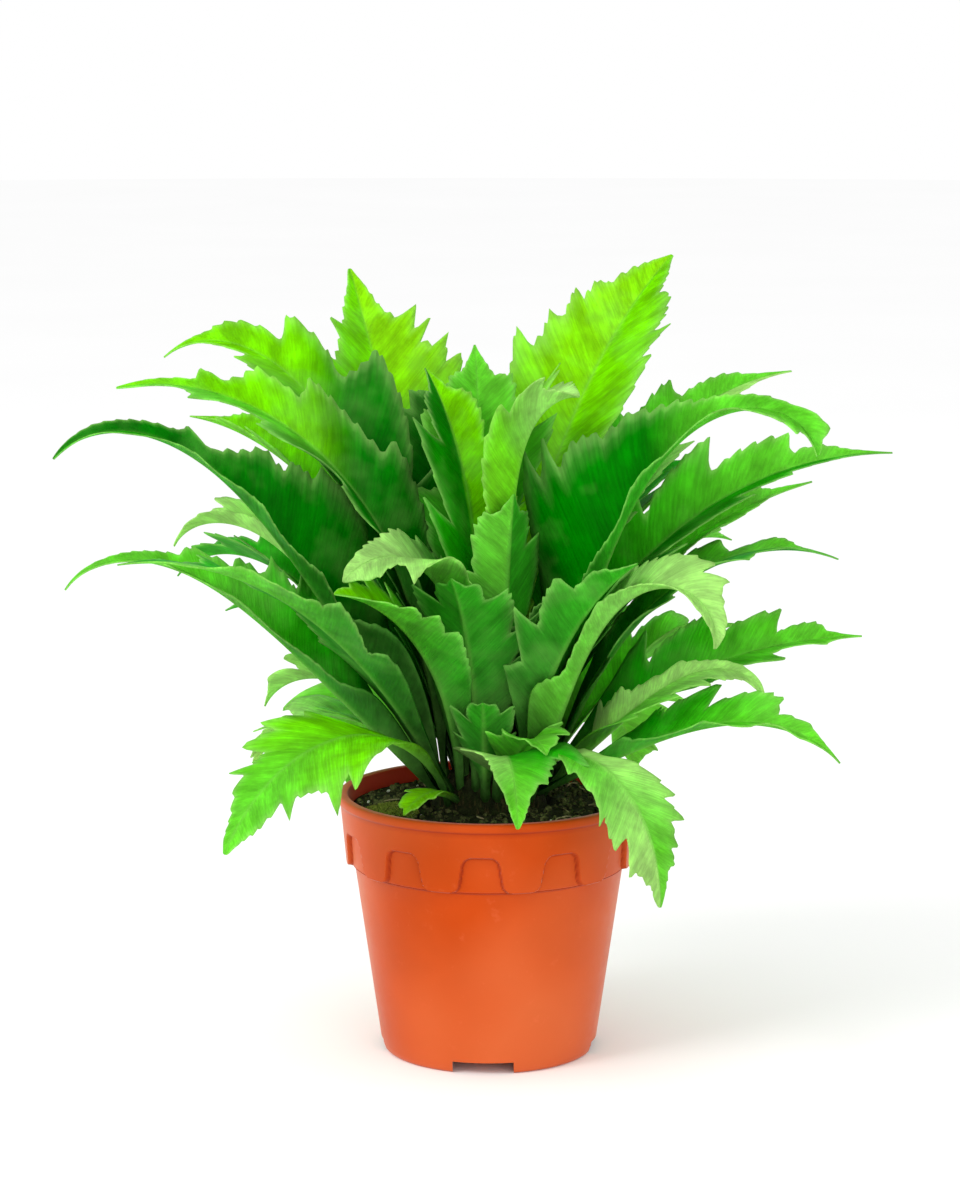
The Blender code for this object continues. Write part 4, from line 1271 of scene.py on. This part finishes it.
class FERN_OT_moss(bpy.types.Operator):
    """Builds the low cushion of moss out of a pad and many small shoots"""

    bl_idname = "fern.moss"
    bl_label = "Moss"

    def execute(self, context):
        pot = context.scene.fern_pot
        filling = context.scene.fern_filling
        chance = random.Random(SEED + 1)
        outward = around(MOSS_AZIMUTH)
        along = Vector((-outward.y, outward.x, 0))
        inner = inner_radius(pot, pot.height - SOIL_DROP)
        centre = outward * (inner - MOSS_WIDTH / 2 - 1.2 * MM)
        limit = inner - 1.6 * MM

        def spot_at(x, y, lift):
            round_x, round_y = math.sqrt(1 - 0.5 * y * y), math.sqrt(1 - 0.5 * x * x)
            spot = centre + along * x * round_x * MOSS_LENGTH / 2 + outward * y * round_y * MOSS_WIDTH / 2
            if spot.length > limit:
                spot *= limit / spot.length
            spot.z = soil_height(pot, spot.length) + lift
            return spot

        bm = bmesh.new()
        bmesh.ops.create_grid(bm, x_segments=36, y_segments=36, size=1.0)
        for vert in bm.verts:
            x, y = vert.co.x, vert.co.y
            fall = max(0.0, 1 - max(abs(x), abs(y)) ** 4)
            bumpy = 0.8 + 0.7 * noise.noise(Vector((x * 5, y * 5, 3)))
            bumpy += 0.35 * noise.noise(Vector((x * 13, y * 13, 7)))
            vert.co = spot_at(x, y, 0.2 * MM + 1.9 * MM * fall * bumpy)
        bmesh.ops.recalc_face_normals(bm, faces=bm.faces)
        if sum(face.normal.z for face in bm.faces) < 0:
            bmesh.ops.reverse_faces(bm, faces=bm.faces)
        green = crumbly_finish("moss_pad", (0.05, 0.07, 0.012), tuple(filling.moss_colour), 500.0, 0.95, 0.0005)
        pad = finished("moss_pad", bm, [green], ["moss_patch"])
        shell = pad.modifiers.new("thickness", "SOLIDIFY")
        shell.thickness = 0.8 * MM
        shell.offset = -1.0

        shoots = bmesh.new()
        for _ in range(filling.tuft_count):
            x, y = chance.uniform(-1, 1), chance.uniform(-1, 1)
            fall = max(0.0, 1 - max(abs(x), abs(y)) ** 4)
            size = chance.uniform(0.5, 1.5) * MM
            spot = spot_at(x, y, 0.2 * MM + 1.7 * MM * fall + 0.3 * size)
            tilt = Matrix.Rotation(chance.uniform(-0.7, 0.7), 4, "X")
            tilt = tilt @ Matrix.Rotation(chance.uniform(-0.7, 0.7), 4, "Y")
            bmesh.ops.create_cone(
                shoots,
                cap_ends=True,
                segments=4,
                radius1=0.26 * size,
                radius2=0.05 * size,
                depth=1.3 * size,
                matrix=Matrix.Translation(spot) @ tilt,
            )
        tip = crumbly_finish("moss_shoot", (0.09, 0.12, 0.015), (0.30, 0.34, 0.06), 700.0, 0.95, 0.0002)
        finished("moss_shoots", shoots, [tip], smooth=False)
        return {"FINISHED"}


class FERN_OT_crown(bpy.types.Operator):
    """Builds the crown: a rough dome covered in papery brown scales"""

    bl_idname = "fern.crown"
    bl_label = "Crown"

    def execute(self, context):
        filling = context.scene.fern_filling
        chance = random.Random(SEED + 2)
        bm = bmesh.new()
        bmesh.ops.create_uvsphere(
            bm,
            u_segments=72,
            v_segments=48,
            radius=CROWN_RADIUS,
            matrix=Matrix.Translation(CROWN_CENTRE),
        )
        for vert in bm.verts:
            out = (vert.co - CROWN_CENTRE).normalized()
            vert.co -= out * (0.5 + 0.7 * noise.noise(vert.co * 160)) * MM
        dark, light = (0.008, 0.010, 0.004), (0.030, 0.036, 0.012)
        rough = crumbly_finish("crown_fibre", dark, light, 340.0, 0.92, 0.0008)
        finished("crown_dome", bm, [rough], ["crown"])

        scales = bmesh.new()
        for _ in range(filling.scale_count):
            turn = chance.uniform(0, math.tau)
            climb = math.asin(chance.uniform(0.12, 0.99))
            out = around(turn, math.cos(climb), math.sin(climb))
            up = (Vector((0, 0, 1)) - out * out.z).normalized()
            along = (up + out * chance.uniform(0.15, 0.45)).normalized()
            side = out.cross(up)
            length, width = chance.uniform(2.5, 5.0) * MM, chance.uniform(0.5, 1.0) * MM
            start = CROWN_CENTRE + out * (CROWN_RADIUS - 0.9 * MM)
            made = bmesh.ops.create_cone(
                scales,
                cap_ends=True,
                segments=4,
                radius1=1.0,
                radius2=0.08,
                depth=1.0,
                matrix=Matrix.Translation((0, 0, 0.5)),
            )
            for vert in made["verts"]:
                local = vert.co.copy()
                vert.co = start + along * local.z * length + side * local.x * width
                vert.co += out * local.y * 0.2 * MM
        bmesh.ops.recalc_face_normals(scales, faces=scales.faces)
        papery = crumbly_finish("crown_scale_paper", (0.018, 0.016, 0.006), (0.070, 0.060, 0.022), 600.0, 0.8, 0.0002)
        finished("crown_scales", scales, [papery], smooth=False)
        return {"FINISHED"}


def point_at(thing, spot, aim):
    """Puts a lamp or the camera at a spot and points it at another."""
    thing.location = spot
    thing.rotation_euler = (Vector(aim) - Vector(spot)).to_track_quat("-Z", "Y").to_euler()


class FERN_OT_stage(bpy.types.Operator):
    """Sets the pale floor, the soft studio light and the camera"""

    bl_idname = "fern.stage"
    bl_label = "Stage"

    def execute(self, context):
        settings = context.scene.fern_stage
        scene = context.scene
        scene.view_settings.view_transform = "Standard"
        bm = bmesh.new()
        bmesh.ops.create_circle(bm, cap_ends=True, segments=96, radius=settings.floor_radius)
        mesh = bpy.data.meshes.new("studio_floor")
        bm.to_mesh(mesh)
        bm.free()
        floor = bpy.data.objects.new("studio_floor", mesh)
        scene.collection.objects.link(floor)
        recipe = Recipe("studio_paper")
        tone = recipe.ramp(recipe.noise(recipe.place(), 3.0), [(0.0, 0.955), (1.0, 0.985)])
        paper = recipe.add("BsdfPrincipled", {"Base Color": tone, "Roughness": 0.9, "Specular IOR Level": 0.0})
        mesh.materials.append(recipe.finish(paper.outputs[0]))

        world = bpy.data.worlds.new("studio")
        world.use_nodes = True
        background = world.node_tree.nodes["Background"]
        background.inputs["Color"].default_value = (1.0, 1.0, 1.0, 1.0)
        background.inputs["Strength"].default_value = settings.sky
        scene.world = world

        for name, spot, size in LIGHTS:
            lamp = bpy.data.lights.new(f"{name}_light", "AREA")
            lamp.energy = getattr(settings, name)
            lamp.shape = "DISK"
            lamp.size = size
            made = bpy.data.objects.new(lamp.name, lamp)
            point_at(made, spot, LIT_SPOT)
            scene.collection.objects.link(made)

        lens = bpy.data.cameras.new("camera")
        lens.sensor_fit = "VERTICAL"
        lens.sensor_height = SENSOR_HEIGHT
        lens.lens = FOCAL_LENGTH
        camera = bpy.data.objects.new("camera", lens)
        point_at(camera, CAMERA_SPOT, CAMERA_AIM)
        scene.collection.objects.link(camera)
        scene.camera = camera
        return {"FINISHED"}


class FERN_PT_parts(bpy.types.Panel):
    """Lists the fern's parts and their settings"""

    bl_idname = "FERN_PT_parts"
    bl_label = "Potted fern"
    bl_space_type = "VIEW_3D"
    bl_region_type = "UI"
    bl_category = "Fern"

    def draw(self, context):
        for group, (_, operators) in PARTS.items():
            box = self.layout.box()
            settings = getattr(context.scene, group)
            for name in settings.__annotations__:
                box.prop(settings, name)
            for operator in operators:
                box.operator(operator.bl_idname)


PARTS = {
    "fern_pot": (PotSettings, [FERN_OT_pot]),
    "fern_filling": (FillingSettings, [FERN_OT_soil, FERN_OT_moss, FERN_OT_crown]),
    "fern_leaf": (LeafSettings, [FERN_OT_fronds]),
    "fern_stage": (StageSettings, [FERN_OT_stage]),
}


def register():
    for group, (settings, operators) in PARTS.items():
        for made in (settings, *operators):
            bpy.utils.register_class(made)
        setattr(bpy.types.Scene, group, bpy.props.PointerProperty(type=settings))
    bpy.utils.register_class(FERN_PT_parts)


def unregister():
    bpy.utils.unregister_class(FERN_PT_parts)
    for group, (settings, operators) in PARTS.items():
        delattr(bpy.types.Scene, group)
        for made in (*operators, settings):
            bpy.utils.unregister_class(made)


def main():
    register()
    bpy.ops.fern.pot()
    bpy.ops.fern.soil()
    bpy.ops.fern.moss()
    bpy.ops.fern.crown()
    bpy.ops.fern.fronds()
    bpy.ops.fern.stage()


if __name__ == "__main__":
    main()
